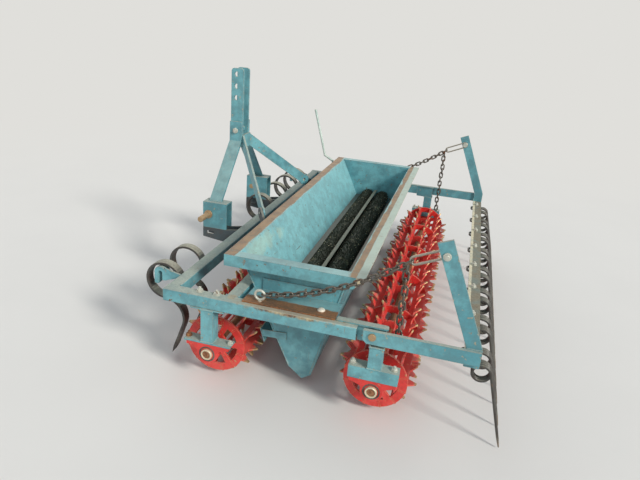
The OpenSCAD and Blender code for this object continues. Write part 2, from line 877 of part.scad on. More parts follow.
// Ring eyes on the members' inner top edge.
module chain_eyes() color(steel) both_sides() {
    translate([X(eye[0]), eye[1], eye[2]])
        rotate([90, 0, 0])
            rotate_extrude($fn = 48)
                translate([15, 0]) circle(4, $fn = 16);
    translate([X(eye[0]), eye[1], frame_top + 4])
        cylinder(h = 3, d = 12, $fn = 24);
}

// Flat outline of one link along X.
module link_2d(inner, wire, w) {
    outer = inner + 2 * wire;
    difference() {
        union() {
            square([outer - w, w], center = true);
            for (x = [-1, 1]) translate([x * (outer - w) / 2, 0]) circle(w / 2, $fn = 8);
        }
        square([inner - (w - 2 * wire), w - 2 * wire], center = true);
        for (x = [-1, 1])
            translate([x * (inner - (w - 2 * wire)) / 2, 0])
                circle(w / 2 - wire, $fn = 8);
    }
}

// One link, lying flat or standing on edge.
module chain_link(flat) {
    rotate([flat ? 0 : 90, 0, 0])
        linear_extrude(link_wire, center = true)
            link_2d(link_in, link_wire, link_w);
}

// The chain with its shackle and with a spare end of tail_n links that hangs
// from it at the distance tail_s.
module chain(tail_s, tail_n) {
    // The first link hooks round the eye's wire, the last round the shackle's.
    first = 10.3 + link_in / 2;
    last = chain_to_pin - shackle_in + 7.5 - link_in / 2;
    gaps = 2 * ceil((last - first) / (2 * link_in));
    pitch = (last - first) / gaps;
    translate([X(eye[0]), chain_y, eye[2]])
        rotate([0, chain_slope, 0]) mirror([1, 0, 0])
            for (k = [0:gaps])
                translate([first + k * pitch, 0, 0])
                    chain_link(k % 2 == 0);
    // Long shackle round the upright's pin.
    translate([X(hole_s), chain_y, hole_z])
        rotate([0, chain_slope, 0])
            translate([shackle_in / 2 - 7, 0, 0])
                rotate([90, 0, 0])
                    linear_extrude(7, center = true)
                        link_2d(shackle_in, 7, 30);
    tail_z = eye[2] + (tail_s - eye[0]) * tan(chain_slope);
    for (k = [0:tail_n - 1])
        translate([X(tail_s), chain_y, tail_z - 8 - k * pitch])
            rotate([0, 90, 0])
                chain_link(k % 2 == 0);
}

module left_chain() color(chain_grey) chain(729.2, 10);
module right_chain() color(chain_grey) mirror([0, 1, 0]) chain(729.2, 14);

main_frame();
front_roller_legs();
rear_roller_legs();
front_bearing_housings();
rear_bearing_housings();
front_roller_shaft();
front_roller_discs();
front_roller_bars();
rear_roller_shaft();
rear_roller_discs();
rear_roller_bars();
hopper_walls();
hopper_end_plates();
hopper_floor();
hopper_straps();
front_brush_shaft();
front_brush();
rear_brush_shaft();
rear_brush();
seed_lever();
roller_scraper();
mast_plates();
mast_legs();
mast_stays();
stay_tabs();
link_brackets();
link_bracket_bases();
link_pins();
front_tines();
front_tine_clamps();
front_tine_guards();
pivot_pins();
harrow_arms();
harrow_crossbar();
harrow_uprights();
shackle_pins();
harrow_tines();
chain_eyes();
left_chain();
right_chain();
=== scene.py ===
"""Seed drill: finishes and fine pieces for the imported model, laid out as an add-on."""

import json
import math
import random

import bmesh
import bpy
from bpy.props import FloatProperty, FloatVectorProperty, IntProperty, PointerProperty
from mathutils import Matrix, Vector


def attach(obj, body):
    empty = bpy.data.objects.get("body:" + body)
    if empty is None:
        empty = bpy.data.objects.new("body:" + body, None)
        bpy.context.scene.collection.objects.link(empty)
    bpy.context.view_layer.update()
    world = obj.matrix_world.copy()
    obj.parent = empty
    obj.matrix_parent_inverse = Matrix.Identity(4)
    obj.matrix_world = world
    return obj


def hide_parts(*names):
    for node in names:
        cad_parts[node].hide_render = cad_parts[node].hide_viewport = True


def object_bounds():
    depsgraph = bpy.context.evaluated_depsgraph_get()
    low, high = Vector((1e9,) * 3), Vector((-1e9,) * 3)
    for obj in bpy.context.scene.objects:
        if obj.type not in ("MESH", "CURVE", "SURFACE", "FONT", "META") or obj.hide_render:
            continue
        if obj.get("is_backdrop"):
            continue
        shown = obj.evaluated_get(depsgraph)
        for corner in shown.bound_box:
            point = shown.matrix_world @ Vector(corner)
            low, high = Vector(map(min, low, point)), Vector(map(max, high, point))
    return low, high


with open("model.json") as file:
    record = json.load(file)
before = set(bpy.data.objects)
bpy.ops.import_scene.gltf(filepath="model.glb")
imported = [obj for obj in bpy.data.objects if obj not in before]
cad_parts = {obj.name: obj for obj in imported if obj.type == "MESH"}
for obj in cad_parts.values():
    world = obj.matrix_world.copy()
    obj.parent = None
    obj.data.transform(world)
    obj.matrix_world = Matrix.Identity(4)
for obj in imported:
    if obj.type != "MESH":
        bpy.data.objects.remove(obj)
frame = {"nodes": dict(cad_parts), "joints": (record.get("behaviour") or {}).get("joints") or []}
CAD_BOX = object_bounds()

bl_info = {
    "name": "Seed drill dresser",
    "version": (1, 0, 0),
    "blender": (4, 5, 0),
    "location": "3D View > Sidebar > Seed drill",
    "description": "Paints a seed drill and adds its chains, springs, bristles, bolts and welds",
    "category": "Object",
}

NODES = frame["nodes"]
JOINTS = {joint["name"]: joint for joint in frame["joints"]}

# Places are in millimetres: s back from the front tube, y to the left and z up

X_MID = 450.0
# Front tines: place across the drill, width of the strip
FRONT_TINES = ((690, 32), (540, 32), (-160, 32), (-375, 32), (-540, 32), (-690, 32))
# Double harrow tines: places across the drill
HARROW_ROWS = tuple((k + 0.5) * 208.0 for k in range(-4, 4))
# Outer face of the pillow blocks, and the brushes' bristled length, in metres
BLOCK_FACE = 0.817
BRUSH_LENGTH = 1.388


def place(s, y, z):
    """A point in metres from millimetres back from the front tube, to the left and up."""
    return Vector(((X_MID - s) / 1000, y / 1000, z / 1000))


def both(rows):
    """The same rows on both sides of the drill: s, y, z come first in each row."""
    return [(row[0], side * row[1], *row[2:]) for row in rows for side in (1, -1)]


def shade(red, green, blue):
    """A colour for shader sockets from 0-255 display values."""
    def linear(value):
        value /= 255
        return value / 12.92 if value <= 0.04045 else ((value + 0.055) / 1.055) ** 2.4
    return (linear(red), linear(green), linear(blue))


# Sizes and colours

def colour(name, description, default):
    """A colour that the user can change."""
    return FloatVectorProperty(name=name, description=description, subtype="COLOR", size=3,
                               min=0, max=1, default=default)


def length(name, description, default):
    """A length in metres that the user can change."""
    return FloatProperty(name=name, description=description, default=default, min=0,
                         unit="LENGTH", subtype="DISTANCE")


def share(name, description, default):
    """An amount from 0 to 1 that the user can change."""
    return FloatProperty(name=name, description=description, default=default, min=0, max=1,
                         subtype="FACTOR")


class SeedDrillPaint(bpy.types.PropertyGroup):
    """Colours and wear of the painted and bare metal."""
    teal: colour("Teal", "Paint of the frame, hopper and harrow", shade(78, 148, 160))
    teal_faded: colour("Faded teal", "Sun-bleached teal", shade(110, 176, 184))
    red: colour("Red", "Paint of the rollers and pillow blocks", shade(222, 18, 22))
    red_faded: colour("Faded red", "Sun-bleached red", shade(232, 46, 42))
    black: colour("Black", "Paint of the spring steel", shade(34, 36, 38))
    dust: colour("Dust", "Dry soil dust on upward faces", shade(186, 186, 168))
    rust: colour("Rust", "Rust where the paint is gone", shade(140, 92, 58))
    rust_dark: colour("Dark rust", "Old rust in pits and edges", shade(84, 50, 34))
    steel: colour("Bare steel", "Steel worn bare by the soil", shade(205, 188, 150))
    zinc: colour("Zinc", "Plating of bolts and nuts", shade(206, 208, 196))
    wear: share("Edge wear", "How far paint has gone from the edges", 0.55)
    dusting: share("Dust", "How much dust lies on the drill", 0.74)


class SeedDrillFasteners(bpy.types.PropertyGroup):
    """Sizes of bolts, nuts and welds."""
    flats: length("Across flats", "Width of an M10 head across its flats", 0.017)
    head: length("Head height", "Height of an M10 head", 0.007)
    washer: length("Washer diameter", "Outer diameter of a washer", 0.022)
    weld: length("Weld width", "Width of a weld bead", 0.0055)


class SeedDrillChain(bpy.types.PropertyGroup):
    """Sizes of the chain links."""
    wire: length("Wire", "Diameter of the links' wire", 0.0062)
    inner: length("Inner length", "Inside length of a link", 0.0235)
    width: length("Width", "Outside width of a link", 0.0215)
    sag: length("Sag", "How far the slack run hangs below a straight line", 0.034)


class SeedDrillBrush(bpy.types.PropertyGroup):
    """Bristles of the feed brushes."""
    tufts: IntProperty(name="Tufts", description="Tufts of bristle on a brush", default=7000,
                       min=100, max=20000)
    core: length("Core radius", "Radius of the brush under its bristles", 0.029)
    tuft: length("Tuft length", "Length of a tuft of bristle", 0.0062)
    dark: colour("Bristle", "Colour of the bristles", shade(30, 36, 24))
    seed: colour("Seed", "Colour of seeds left in the bristles", shade(196, 188, 150))


SETTINGS = {"paint": SeedDrillPaint, "fasteners": SeedDrillFasteners, "chain": SeedDrillChain,
            "brush": SeedDrillBrush}


# Shader node groups

class Net:
    """Adds nodes to a node tree and joins them."""

    def __init__(self, tree):
        self.tree = tree
        self.count = 0

    def add(self, kind, inputs=None, **settings):
        """A node with its settings made, and its inputs joined or set."""
        node = self.tree.nodes.new(kind)
        for name, value in settings.items():
            setattr(node, name, value)
        for socket, value in (inputs or {}).items():
            self.feed(node.inputs[socket], value)
        node.location = (self.count % 12 * 190, -(self.count // 12) * 260)
        self.count += 1
        return node

    def feed(self, socket, value):
        """Joins an output to a socket, or sets the socket's own value."""
        if isinstance(value, bpy.types.NodeSocket):
            self.tree.links.new(value, socket)
        elif value is not None:
            if socket.type == "RGBA" and len(value) == 3:
                value = (*value, 1)
            socket.default_value = value

    def math(self, operation, a, b=None, clamp=False):
        return self.add("ShaderNodeMath", {0: a, 1: b}, operation=operation,
                        use_clamp=clamp).outputs[0]

    def plus(self, a, b, clamp=False):
        return self.math("ADD", a, b, clamp)

    def minus(self, a, b, clamp=False):
        return self.math("SUBTRACT", a, b, clamp)

    def times(self, a, b):
        return self.math("MULTIPLY", a, b)

    def most(self, a, b, clamp=False):
        return self.math("MAXIMUM", a, b, clamp)

    def swing(self, noise, width):
        """A noise laid about zero and made width wide."""
        return self.times(self.minus(noise, 0.5), width)

    def vector(self, operation, a, b=None, output=0):
        return self.add("ShaderNodeVectorMath", {0: a, 1: b}, operation=operation).outputs[output]

    def mix(self, factor, a, b, kind="RGBA", blend="MIX"):
        first, output = {"FLOAT": (2, 0), "RGBA": (6, 2)}[kind]
        return self.add("ShaderNodeMix", {0: factor, first: a, first + 1: b}, data_type=kind,
                        blend_type=blend).outputs[output]

    def mix_shader(self, factor, a, b):
        return self.add("ShaderNodeMixShader", {0: factor, 1: a, 2: b}).outputs[0]

    def ramp(self, value, low, high, out_low=0.0, out_high=1.0):
        """A smooth step between two values, rising or falling."""
        return self.add("ShaderNodeMapRange",
                        dict(enumerate((value, low, high, out_low, out_high))),
                        interpolation_type="SMOOTHSTEP").outputs[0]

    def noise(self, at, scale, detail=3.0, rough=0.5, twist=0.0):
        return self.add("ShaderNodeTexNoise", {"Vector": at, "Scale": scale, "Detail": detail,
                                               "Roughness": rough, "Distortion": twist}).outputs[0]

    def streaks(self, at, scale, detail, rough, twist=0.0):
        """A noise with a scale of its own along each axis."""
        return self.noise(self.vector("MULTIPLY", at, scale), 1.0, detail, rough, twist)

    def split(self, vector):
        return self.add("ShaderNodeSeparateXYZ", {0: vector}).outputs

    def place(self):
        return self.add("ShaderNodeTexCoord").outputs["Object"]

    def facing_up(self):
        """How far a face looks up, from -1 to 1."""
        return self.split(self.add("ShaderNodeNewGeometry").outputs["Normal"])[2]

    def seen(self):
        """1 for what the camera sees, straight or in a reflection."""
        path = self.add("ShaderNodeLightPath").outputs
        return self.most(path["Is Camera Ray"], path["Is Glossy Ray"])


KINDS = {"c": "NodeSocketColor", "f": "NodeSocketFloat", "v": "NodeSocketVector"}
SURFACE = [("Color", "c"), ("Roughness", "f"), ("Metallic", "f"), ("Height", "f")]


def shader_group(name, inputs, outputs, build):
    """A shader node group, built once. inputs: rows of name, kind and default."""
    tree = bpy.data.node_groups.get(name)
    if tree:
        return tree
    tree = bpy.data.node_groups.new(name, "ShaderNodeTree")
    for label, kind, default in inputs:
        socket = tree.interface.new_socket(label, in_out="INPUT", socket_type=KINDS[kind])
        socket.default_value = (*default, 1) if kind == "c" else default
    for label, kind in outputs:
        tree.interface.new_socket(label, in_out="OUTPUT", socket_type=KINDS[kind])
    net = Net(tree)
    source = net.add("NodeGroupInput")
    net.add("NodeGroupOutput", build(net, source.outputs))
    return tree


def build_weathering(net, given):
    at = net.place()
    normal = net.add("ShaderNodeNewGeometry").outputs["Normal"]
    broad = net.noise(at, 4.5, 3, 0.55)
    middle = net.noise(at, 26, 6, 0.62)
    fine = net.noise(at, 150, 5, 0.6)
    speck = net.noise(at, 75, 3, 0.5, 0.4)
    up, rise = net.split(normal)[2], net.split(at)[2]

    # Paint, bleached in patches
    patches = net.ramp(net.plus(net.times(broad, 0.6), net.times(middle, 0.4)), 0.40, 0.62)
    paint = net.mix(patches, given["Paint"], given["Faded"])
    paint = net.mix(1.0, paint, net.ramp(fine, 0.3, 0.7, 0.90, 1.06), blend="MULTIPLY")
    grime = net.times(net.ramp(middle, 0.58, 0.40), 0.16)
    paint = net.mix(grime, paint, given["Dark Rust"])

    # Edges, found by rounding the normal
    rounded = net.add("ShaderNodeBevel", {"Radius": 0.0028}, samples=4).outputs[0]
    edge = net.minus(1.0, net.vector("DOT_PRODUCT", rounded, normal, 1), clamp=True)
    ragged = net.plus(net.times(edge, 2.6), net.swing(middle, 0.9))
    limit = net.minus(0.62, net.times(given["Wear"], 0.42))
    worn = net.times(net.ramp(ragged, limit, net.plus(limit, 0.10)),
                     net.math("MINIMUM", net.times(edge, 30), 1.0))

    # Scratches and chips
    upright = net.streaks(at, (9, 9, 170), 3, 0.55, 0.3)
    across = net.streaks(at, (150, 12, 12), 3, 0.55, 0.5)
    scratch = net.most(net.ramp(upright, 0.70, 0.735), net.ramp(across, 0.71, 0.745))
    scratch = net.times(scratch, net.ramp(broad, 0.42, 0.58))
    chips = net.ramp(speck, 0.665, 0.69)
    marks = net.times(net.most(scratch, chips), net.times(given["Wear"], 1.2))
    bare = net.most(net.most(worn, marks), given["Bare"], clamp=True)

    # Rust in spots, in the bare places and in runs below them
    blot = net.noise(at, 13, 9, 0.72, 0.2)
    limit = net.minus(0.74, net.times(given["Rust Amount"], 0.34))
    spots = net.ramp(blot, limit, net.plus(limit, 0.035))
    limit = net.minus(0.70, net.times(given["Rust Amount"], 0.20))
    runs = net.ramp(net.streaks(at, (34, 34, 2.2), 5, 0.6), limit, net.plus(limit, 0.10))
    steep = net.ramp(net.math("ABSOLUTE", up), 0.6, 0.2)
    runs = net.times(runs, net.times(steep, 0.55))
    rust = net.mix(net.ramp(fine, 0.35, 0.65), given["Dark Rust"], given["Rust"])
    metal = net.mix(net.times(net.ramp(middle, 0.40, 0.62), given["Rusting"]), given["Steel"], rust)
    metal = net.mix(net.times(net.ramp(fine, 0.62, 0.36), 0.45), metal, given["Dark Rust"])
    coat = net.mix(runs, paint, given["Rust"])
    coat = net.mix(bare, coat, metal)
    coat = net.mix(spots, coat, rust)

    # Dust on what faces up, and soil low down
    uneven = net.plus(net.times(middle, 0.7), net.times(broad, 0.3))
    lie = net.times(net.ramp(up, 0.45, 0.95), given["Dust Amount"])
    lie = net.times(lie, net.ramp(uneven, 0.30, 0.62, 0.62, 1.0))
    low = net.times(net.ramp(rise, 0.20, 0.02), net.ramp(middle, 0.40, 0.60))
    low = net.times(low, net.times(given["Dust Amount"], 0.55))
    dusty = net.most(lie, low, clamp=True)
    film = net.plus(dusty, 0.06, clamp=True)
    soil = net.mix(net.ramp(fine, 0.3, 0.7), given["Dust"],
                   net.mix(0.35, given["Dust"], given["Dark Rust"]))

    gloss = net.plus(given["Gloss"], net.swing(middle, 0.35))
    gloss = net.mix(bare, gloss, 0.42, "FLOAT")
    gloss = net.mix(net.most(spots, runs), gloss, 0.88, "FLOAT")
    gloss = net.mix(film, gloss, 0.93, "FLOAT")
    shine = net.times(bare, net.minus(1.0, spots, clamp=True))
    shine = net.times(shine, net.minus(0.75, net.times(dusty, 0.6), clamp=True))
    height = net.plus(net.times(fine, 0.16), net.times(broad, 0.4))
    height = net.minus(height, net.times(bare, 0.35))
    height = net.plus(height, net.times(spots, net.times(blot, 0.9)))
    return {"Color": net.mix(film, coat, soil), "Roughness": gloss, "Metallic": shine,
            "Height": height}


def weathering_group():
    """Worn, rusty and dusty paint."""
    return shader_group(
        "Paint weathering",
        [("Paint", "c", (0.1, 0.3, 0.4)), ("Faded", "c", (0.2, 0.4, 0.5)),
         ("Dust", "c", (0.4, 0.4, 0.3)), ("Rust", "c", (0.3, 0.12, 0.05)),
         ("Dark Rust", "c", (0.09, 0.04, 0.02)), ("Steel", "c", (0.5, 0.5, 0.45)),
         ("Wear", "f", 0.5), ("Rust Amount", "f", 0.2), ("Rusting", "f", 0.6),
         ("Dust Amount", "f", 0.5), ("Gloss", "f", 0.38), ("Bare", "f", 0.0)],
        SURFACE, build_weathering)


def build_patch(net, given):
    gap = net.vector("SUBTRACT", net.place(), given["Centre"])
    away = net.vector("LENGTH", net.vector("DIVIDE", gap, given["Reach"]), output=1)
    ragged = net.plus(away, net.swing(net.noise(net.place(), given["Grain"], 6, 0.65), 1.5))
    return {"Mask": net.times(net.ramp(ragged, 1.0, 0.55), given["Strength"])}


def patch(net, centre, reach, grain, strength):
    """Mask of a ragged patch round a place. reach is in metres along each axis."""
    group = shader_group(
        "Ragged patch",
        [("Centre", "v", (0, 0, 0)), ("Reach", "v", (0.1, 0.1, 0.1)), ("Grain", "f", 40.0),
         ("Strength", "f", 1.0)],
        [("Mask", "f")], build_patch)
    return net.add("ShaderNodeGroup", {"Centre": place(*centre), "Reach": reach, "Grain": grain,
                                       "Strength": strength}, node_tree=group).outputs[0]


def build_axle(net, given):
    gap = net.vector("MULTIPLY", net.vector("SUBTRACT", net.place(), given["Axle"]), (1, 0, 1))
    away = net.vector("LENGTH", gap, output=1)
    ragged = net.plus(away, net.swing(net.noise(net.place(), 34, 5, 0.6), 0.030))
    return {"Mask": net.ramp(ragged, given["Start"], given["End"])}


def far_from_axle(net, axle, start, end):
    """Mask that grows with the distance from a roller's axle."""
    group = shader_group(
        "Far from the axle",
        [("Axle", "v", (0, 0, 0)), ("Start", "f", 0.1), ("End", "f", 0.12)],
        [("Mask", "f")], build_axle)
    return net.add("ShaderNodeGroup", {"Axle": axle, "Start": start, "End": end},
                   node_tree=group).outputs[0]


def build_metal(net, given):
    at = net.place()
    fine = net.noise(at, 320, 5, 0.65)
    middle = net.noise(at, 48, 6, 0.6, 0.3)
    spots = net.ramp(middle, net.minus(0.80, net.times(given["Rusting"], 0.55)),
                     net.minus(0.86, net.times(given["Rusting"], 0.50)))
    metal = net.mix(net.ramp(fine, 0.3, 0.7, 0.0, 0.35), given["Metal"], given["Dark"])
    rust = net.mix(net.ramp(fine, 0.35, 0.65), given["Dark"], given["Rust"])
    gloss = net.plus(given["Gloss"], net.times(fine, 0.18))
    return {"Color": net.mix(spots, metal, rust), "Roughness": net.mix(spots, gloss, 0.9, "FLOAT"),
            "Metallic": net.ramp(spots, 0.1, 0.9, given["Shine"], 0.0),
            "Height": net.plus(net.times(fine, 0.4), net.times(spots, net.times(middle, 1.4)))}


def metal_group():
    """Bare metal with spots of rust."""
    return shader_group(
        "Bare metal",
        [("Metal", "c", (0.5, 0.5, 0.5)), ("Dark", "c", (0.08, 0.06, 0.05)),
         ("Rust", "c", (0.3, 0.12, 0.05)), ("Rusting", "f", 0.3), ("Gloss", "f", 0.35),
         ("Shine", "f", 0.9)],
        SURFACE, build_metal)


# Materials

def new_material(name):
    """An empty material: its net, its surface and the socket that the surface feeds."""
    material = bpy.data.materials.new(name)
    material.use_nodes = True
    material.node_tree.nodes.clear()
    net = Net(material.node_tree)
    surface = net.add("ShaderNodeBsdfPrincipled")
    out = net.add("ShaderNodeOutputMaterial", {"Surface": surface.outputs[0]})
    return material, net, surface, out.inputs["Surface"]


def dress(net, surface, group, values, depth):
    """Joins a group's outputs to the surface, with its height as a bump."""
    outputs = net.add("ShaderNodeGroup", values, node_tree=group).outputs
    for label in ("Base Color", "Roughness", "Metallic"):
        net.feed(surface.inputs[label], outputs[label.replace("Base ", "")])
    bump = net.add("ShaderNodeBump", {"Strength": 0.7, "Distance": depth,
                                      "Height": outputs["Height"]})
    net.feed(surface.inputs["Normal"], bump.outputs[0])


def painted(name, paint, faded, wear=0.5, rust=0.2, dust=0.6, gloss=0.4, rusting=0.6, bare=None,
            steel=None, soil=None, tint=None, depth=0.0007):
    """A worn paint. bare(net) may give a mask of places where the paint is gone, soil(net) the
    colour of what lies on it, and tint(net, colour) may change the paint in places."""
    known = bpy.data.materials.get(name)
    if known:
        return known
    colours = bpy.context.scene.seed_drill_paint
    material, net, surface, _ = new_material(name)
    values = {"Paint": tint(net, paint) if tint else paint,
              "Faded": tint(net, faded) if tint else faded,
              "Dust": soil(net) if soil else colours.dust, "Rust": colours.rust,
              "Dark Rust": colours.rust_dark, "Steel": steel or colours.steel, "Wear": wear,
              "Rust Amount": rust, "Rusting": rusting, "Dust Amount": dust, "Gloss": gloss,
              "Bare": bare(net) if bare else None}
    dress(net, surface, weathering_group(), values, depth)
    return material


def bare_metal(name, metal, dark, rusting=0.3, gloss=0.35, shine=0.9, depth=0.0004):
    """Unpainted metal with spots of rust."""
    known = bpy.data.materials.get(name)
    if known:
        return known
    material, net, surface, _ = new_material(name)
    values = {"Metal": metal, "Dark": dark, "Rust": bpy.context.scene.seed_drill_paint.rust,
              "Rusting": rusting, "Gloss": gloss, "Shine": shine}
    dress(net, surface, metal_group(), values, depth)
    return material


def teal(**changes):
    """The drill's teal paint, with changes for a piece of its own."""
    colours = bpy.context.scene.seed_drill_paint
    settings = {"name": "Teal paint", "wear": colours.wear, "rust": 0.16, "dust": colours.dusting,
                "gloss": 0.42, **changes}
    return painted(paint=colours.teal, faded=colours.teal_faded, **settings)


def teal_member():
    """The frame's paint, rusting along the hopper's strap and at the second cross tube."""
    def by_the_strap(net):
        left, right = [patch(net, (400, side * 802, 320), (0.20, 0.03, 0.012), 55.0, 0.95)
                       for side in (1, -1)]
        corners = [patch(net, (212, side * 786, 321), (0.016, 0.02, 0.008), 90.0, 0.9)
                   for side in (1, -1)]
        return net.most(net.most(left, right), net.most(*corners))
    return teal(name="Teal paint, frame", bare=by_the_strap, rusting=1.0, rust=0.18)


def strap_paint():
    """The hopper's strap: its flat part is bare and rusty out on the frame, and keeps its
    paint by the hopper."""
    def flat_part(net):
        at = net.place()
        _, y, rise = net.split(at)
        grain = net.swing(net.noise(at, 45, 5, 0.6), 0.012)
        flat = net.ramp(net.plus(rise, grain), 0.3345, 0.3305)
        out = net.plus(net.math("ABSOLUTE", y), grain)
        return net.times(flat, net.ramp(out, 0.755, 0.761))
    return teal(name="Strap", bare=flat_part, rusting=0.6, rust=0.12, dust=0.15,
                steel=shade(190, 124, 76), depth=0.0012)


def crossbar_paint():
    """The crossbar's paint: soil on its top and a pale strip along its front edge."""
    def soil(net):
        at = net.place()
        forward = net.plus(net.split(at)[0], net.times(net.noise(at, 60, 4, 0.6), 0.004))
        # Grey-olive over the top, turning to a pale cream strip along the front edge
        return net.mix(net.ramp(forward, -0.4630, -0.4600), shade(138, 134, 116),
                       shade(228, 220, 190))
    return teal(name="Teal paint, crossbar", dust=1.0, soil=soil)


def teal_hopper():
    """The hopper's paint: rusty lips, a pale patch of scuff marks inside that is partly painted
    sunlight, and inner walls lightened as painted sunlight.
    """
    middle = place(375, 0, 0).x
    # Pale scuffs inside, partly real scuffs and partly painted sunlight on the inner front wall: s,
    # y, z and reach
    scuffs_and_painted_sunlight = (((222, 560, 418), (0.03, 0.17, 0.05)), ((252, 630, 372), (0.03, 0.07, 0.05)),
              ((236, 380, 396), (0.03, 0.05, 0.03)))

    def lips(net):
        """The strips along the front and rear walls, a little off their inner edges."""
        at = net.place()
        x, _, rise = net.split(at)
        lip = net.times(net.ramp(rise, 0.4300, 0.4318), net.ramp(net.facing_up(), 0.85, 0.98))
        spread = net.swing(net.streaks(at, (60, 9, 30), 5, 0.6), 0.03)
        forward = net.minus(x, middle)
        sides = net.ramp(net.plus(net.math("ABSOLUTE", forward), spread), 0.176, 0.181)
        kept = net.ramp(net.plus(forward, net.times(spread, 0.3)), -0.1995, -0.1965)
        return net.times(net.times(lip, sides), kept)

    # Pale scuffs that are partly painted sunlight, a cream strip on the rear lip, and painted
    # sunlight on the inner walls
    def marks_and_painted_sunlight(net, paint):
        for centre, reach in scuffs_and_painted_sunlight:
            paint = net.mix(patch(net, centre, reach, 26.0, 0.7), paint, shade(206, 212, 170))
        # The outer half of the rear lip, pale cream
        at = net.place()
        x = net.split(at)[0]
        rear = net.plus(x, net.times(net.noise(at, 40, 4, 0.6), 0.006))
        paint = net.mix(net.ramp(rear, -0.1185, -0.1215), paint, shade(224, 206, 168))
        # Painted sunlight: the front and rear walls inside are lightened where they face up
        off = net.math("ABSOLUTE", net.minus(x, middle))
        bleached_and_painted_sunlight = net.times(net.ramp(off, 0.05, 0.14, 0.0, 0.6),
                             net.ramp(net.facing_up(), 0.2, 0.4))
        return net.mix(bleached_and_painted_sunlight, paint, shade(150, 210, 214))
    return teal(name="Teal paint, hopper", bare=lips, rusting=1.0, rust=0.12, dust=0.30,
                steel=shade(160, 122, 84), tint=marks_and_painted_sunlight)


def red_roller(node, start):
    """A roller's red, worn bare from a distance off its axle."""
    colours = bpy.context.scene.seed_drill_paint
    axle = JOINTS[node.split("_")[0] + "_roller_spin"]["pos_m"]

    def tips(net):
        return far_from_axle(net, axle, start, start + 0.012)
    return painted("Red paint, " + node.replace("_", " "), colours.red, colours.red_faded,
                   wear=0.5, rust=0.05, dust=0.14, gloss=0.36, rusting=0.25, bare=tips,
                   steel=shade(226, 196, 142))


def black_paint():
    """The dusty black of the spring steel and its clamps."""
    colours = bpy.context.scene.seed_drill_paint
    return painted("Black paint", colours.black, shade(58, 60, 60), wear=0.35, rust=0.15,
                   dust=0.8, gloss=0.45, steel=shade(120, 112, 100))


def finishes():
    """Rows of a finish, the rounding of the edges in millimetres, and the nodes that get it."""
    colours = bpy.context.scene.seed_drill_paint
    red = painted("Red paint", colours.red, colours.red_faded, wear=0.35, rust=0.05, dust=0.22,
                  gloss=0.36, rusting=0.3)
    # Teal darkened as painted shade for the stay tabs and the link brackets' bases, standing in for
    # the shadow they sit in
    dark = painted("Dark paint", shade(44, 62, 70), shade(62, 82, 90), wear=0.3, rust=0.25,
                   dust=0.5, gloss=0.5, steel=shade(120, 112, 100))
    pin = bare_metal("Rusty pin", shade(186, 158, 122), shade(92, 68, 50), 0.35, 0.45, 0.5)
    shaft = bare_metal("Worn shaft", shade(168, 118, 84), shade(92, 56, 40), 0.45, 0.50, 0.35)
    zinc = bare_metal("Dull zinc", colours.zinc, shade(110, 108, 98), 0.22, 0.42, 0.45)
    trough = bare_metal("Worn trough", shade(120, 122, 116), shade(62, 56, 48), 0.25, 0.45, 0.75)
    rod = painted("Pale rod paint", shade(190, 214, 206), shade(214, 226, 214), wear=0.4,
                  rust=0.15, dust=0.4, gloss=0.4)
    rows = [
        (teal_member(), 1.2, "main_frame"),
        (teal(), 1.0, "front_roller_legs rear_roller_legs mast_plates mast_legs mast_stays "
                      "front_tine_guards harrow_arms harrow_uprights"),
        (teal(), 1.4, "link_brackets"),
        # The scraper's extra dust is partly real dust and partly painted sunlight, which makes it
        # pale
        (teal(name="Teal paint, pale scraper", dust=0.9), 0.6, "roller_scraper"),
        (teal_hopper(), 0.8, "hopper_walls hopper_end_plates"),
        (strap_paint(), 0.8, "hopper_straps"), (crossbar_paint(), 0.8, "harrow_crossbar"),
        (red, 2.2, "front_bearing_housings rear_bearing_housings"),
        (shaft, 1.0, "front_roller_shaft rear_roller_shaft"),
        (shaft, 0.6, "front_brush_shaft rear_brush_shaft"),
        (trough, 0.5, "hopper_floor"), (rod, 0.0, "seed_lever"),
        # The stay tabs and the link brackets' bases take the teal darkened as painted shade
        (dark, 0.8, "stay_tabs link_bracket_bases"), (pin, 1.2, "link_pins pivot_pins"),
        (black_paint(), 1.0, "front_tines"), (black_paint(), 1.6, "front_tine_clamps"),
        (zinc, 0.8, "shackle_pins"), (zinc, 0.0, "chain_eyes"),
    ]
    for end, start in (("front", 0.1050), ("rear", 0.1125)):
        for part, rounding in (("discs", 0.6), ("bars", 0.5)):
            node = f"{end}_roller_{part}"
            rows.append((red_roller(node, start), rounding, node))
    return rows


# Mesh helpers

def add_piece(name, mesh, body):
    """Puts a mesh in the scene as a piece that rides on a body."""
    piece = bpy.data.objects.new(name, mesh)
    bpy.context.scene.collection.objects.link(piece)
    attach(piece, body)
    return piece


def plain_mesh(name, shape):
    """A mesh from a bmesh, with its faces turned outwards."""
    bmesh.ops.recalc_face_normals(shape, faces=shape.faces)
    mesh = bpy.data.meshes.new(name)
    shape.to_mesh(mesh)
    shape.free()
    return mesh


def mesh_piece(name, shape, body, material, smooth=40):
    """A piece from a bmesh whose points are already in the drill's frame."""
    mesh = plain_mesh(name, shape)
    mesh.materials.append(material)
    mesh.shade_smooth()
    mesh.set_sharp_from_angle(angle=math.radians(smooth))
    return add_piece(name, mesh, body)


def beside(axis):
    """A direction square to an axis."""
    helper = Vector((0, 0, 1)) if abs(axis.z) < 0.9 else Vector((1, 0, 0))
    return axis.cross(helper).normalized()


def ring(shape, centre, radius, axis, side, sides):
    """Points round a centre, starting on one side of it."""
    other = axis.cross(side)
    points = []
    for k in range(sides):
        turn = 2 * math.pi * k / sides
        points.append(shape.verts.new(centre + radius * (math.cos(turn) * side
                                                         + math.sin(turn) * other)))
    return points


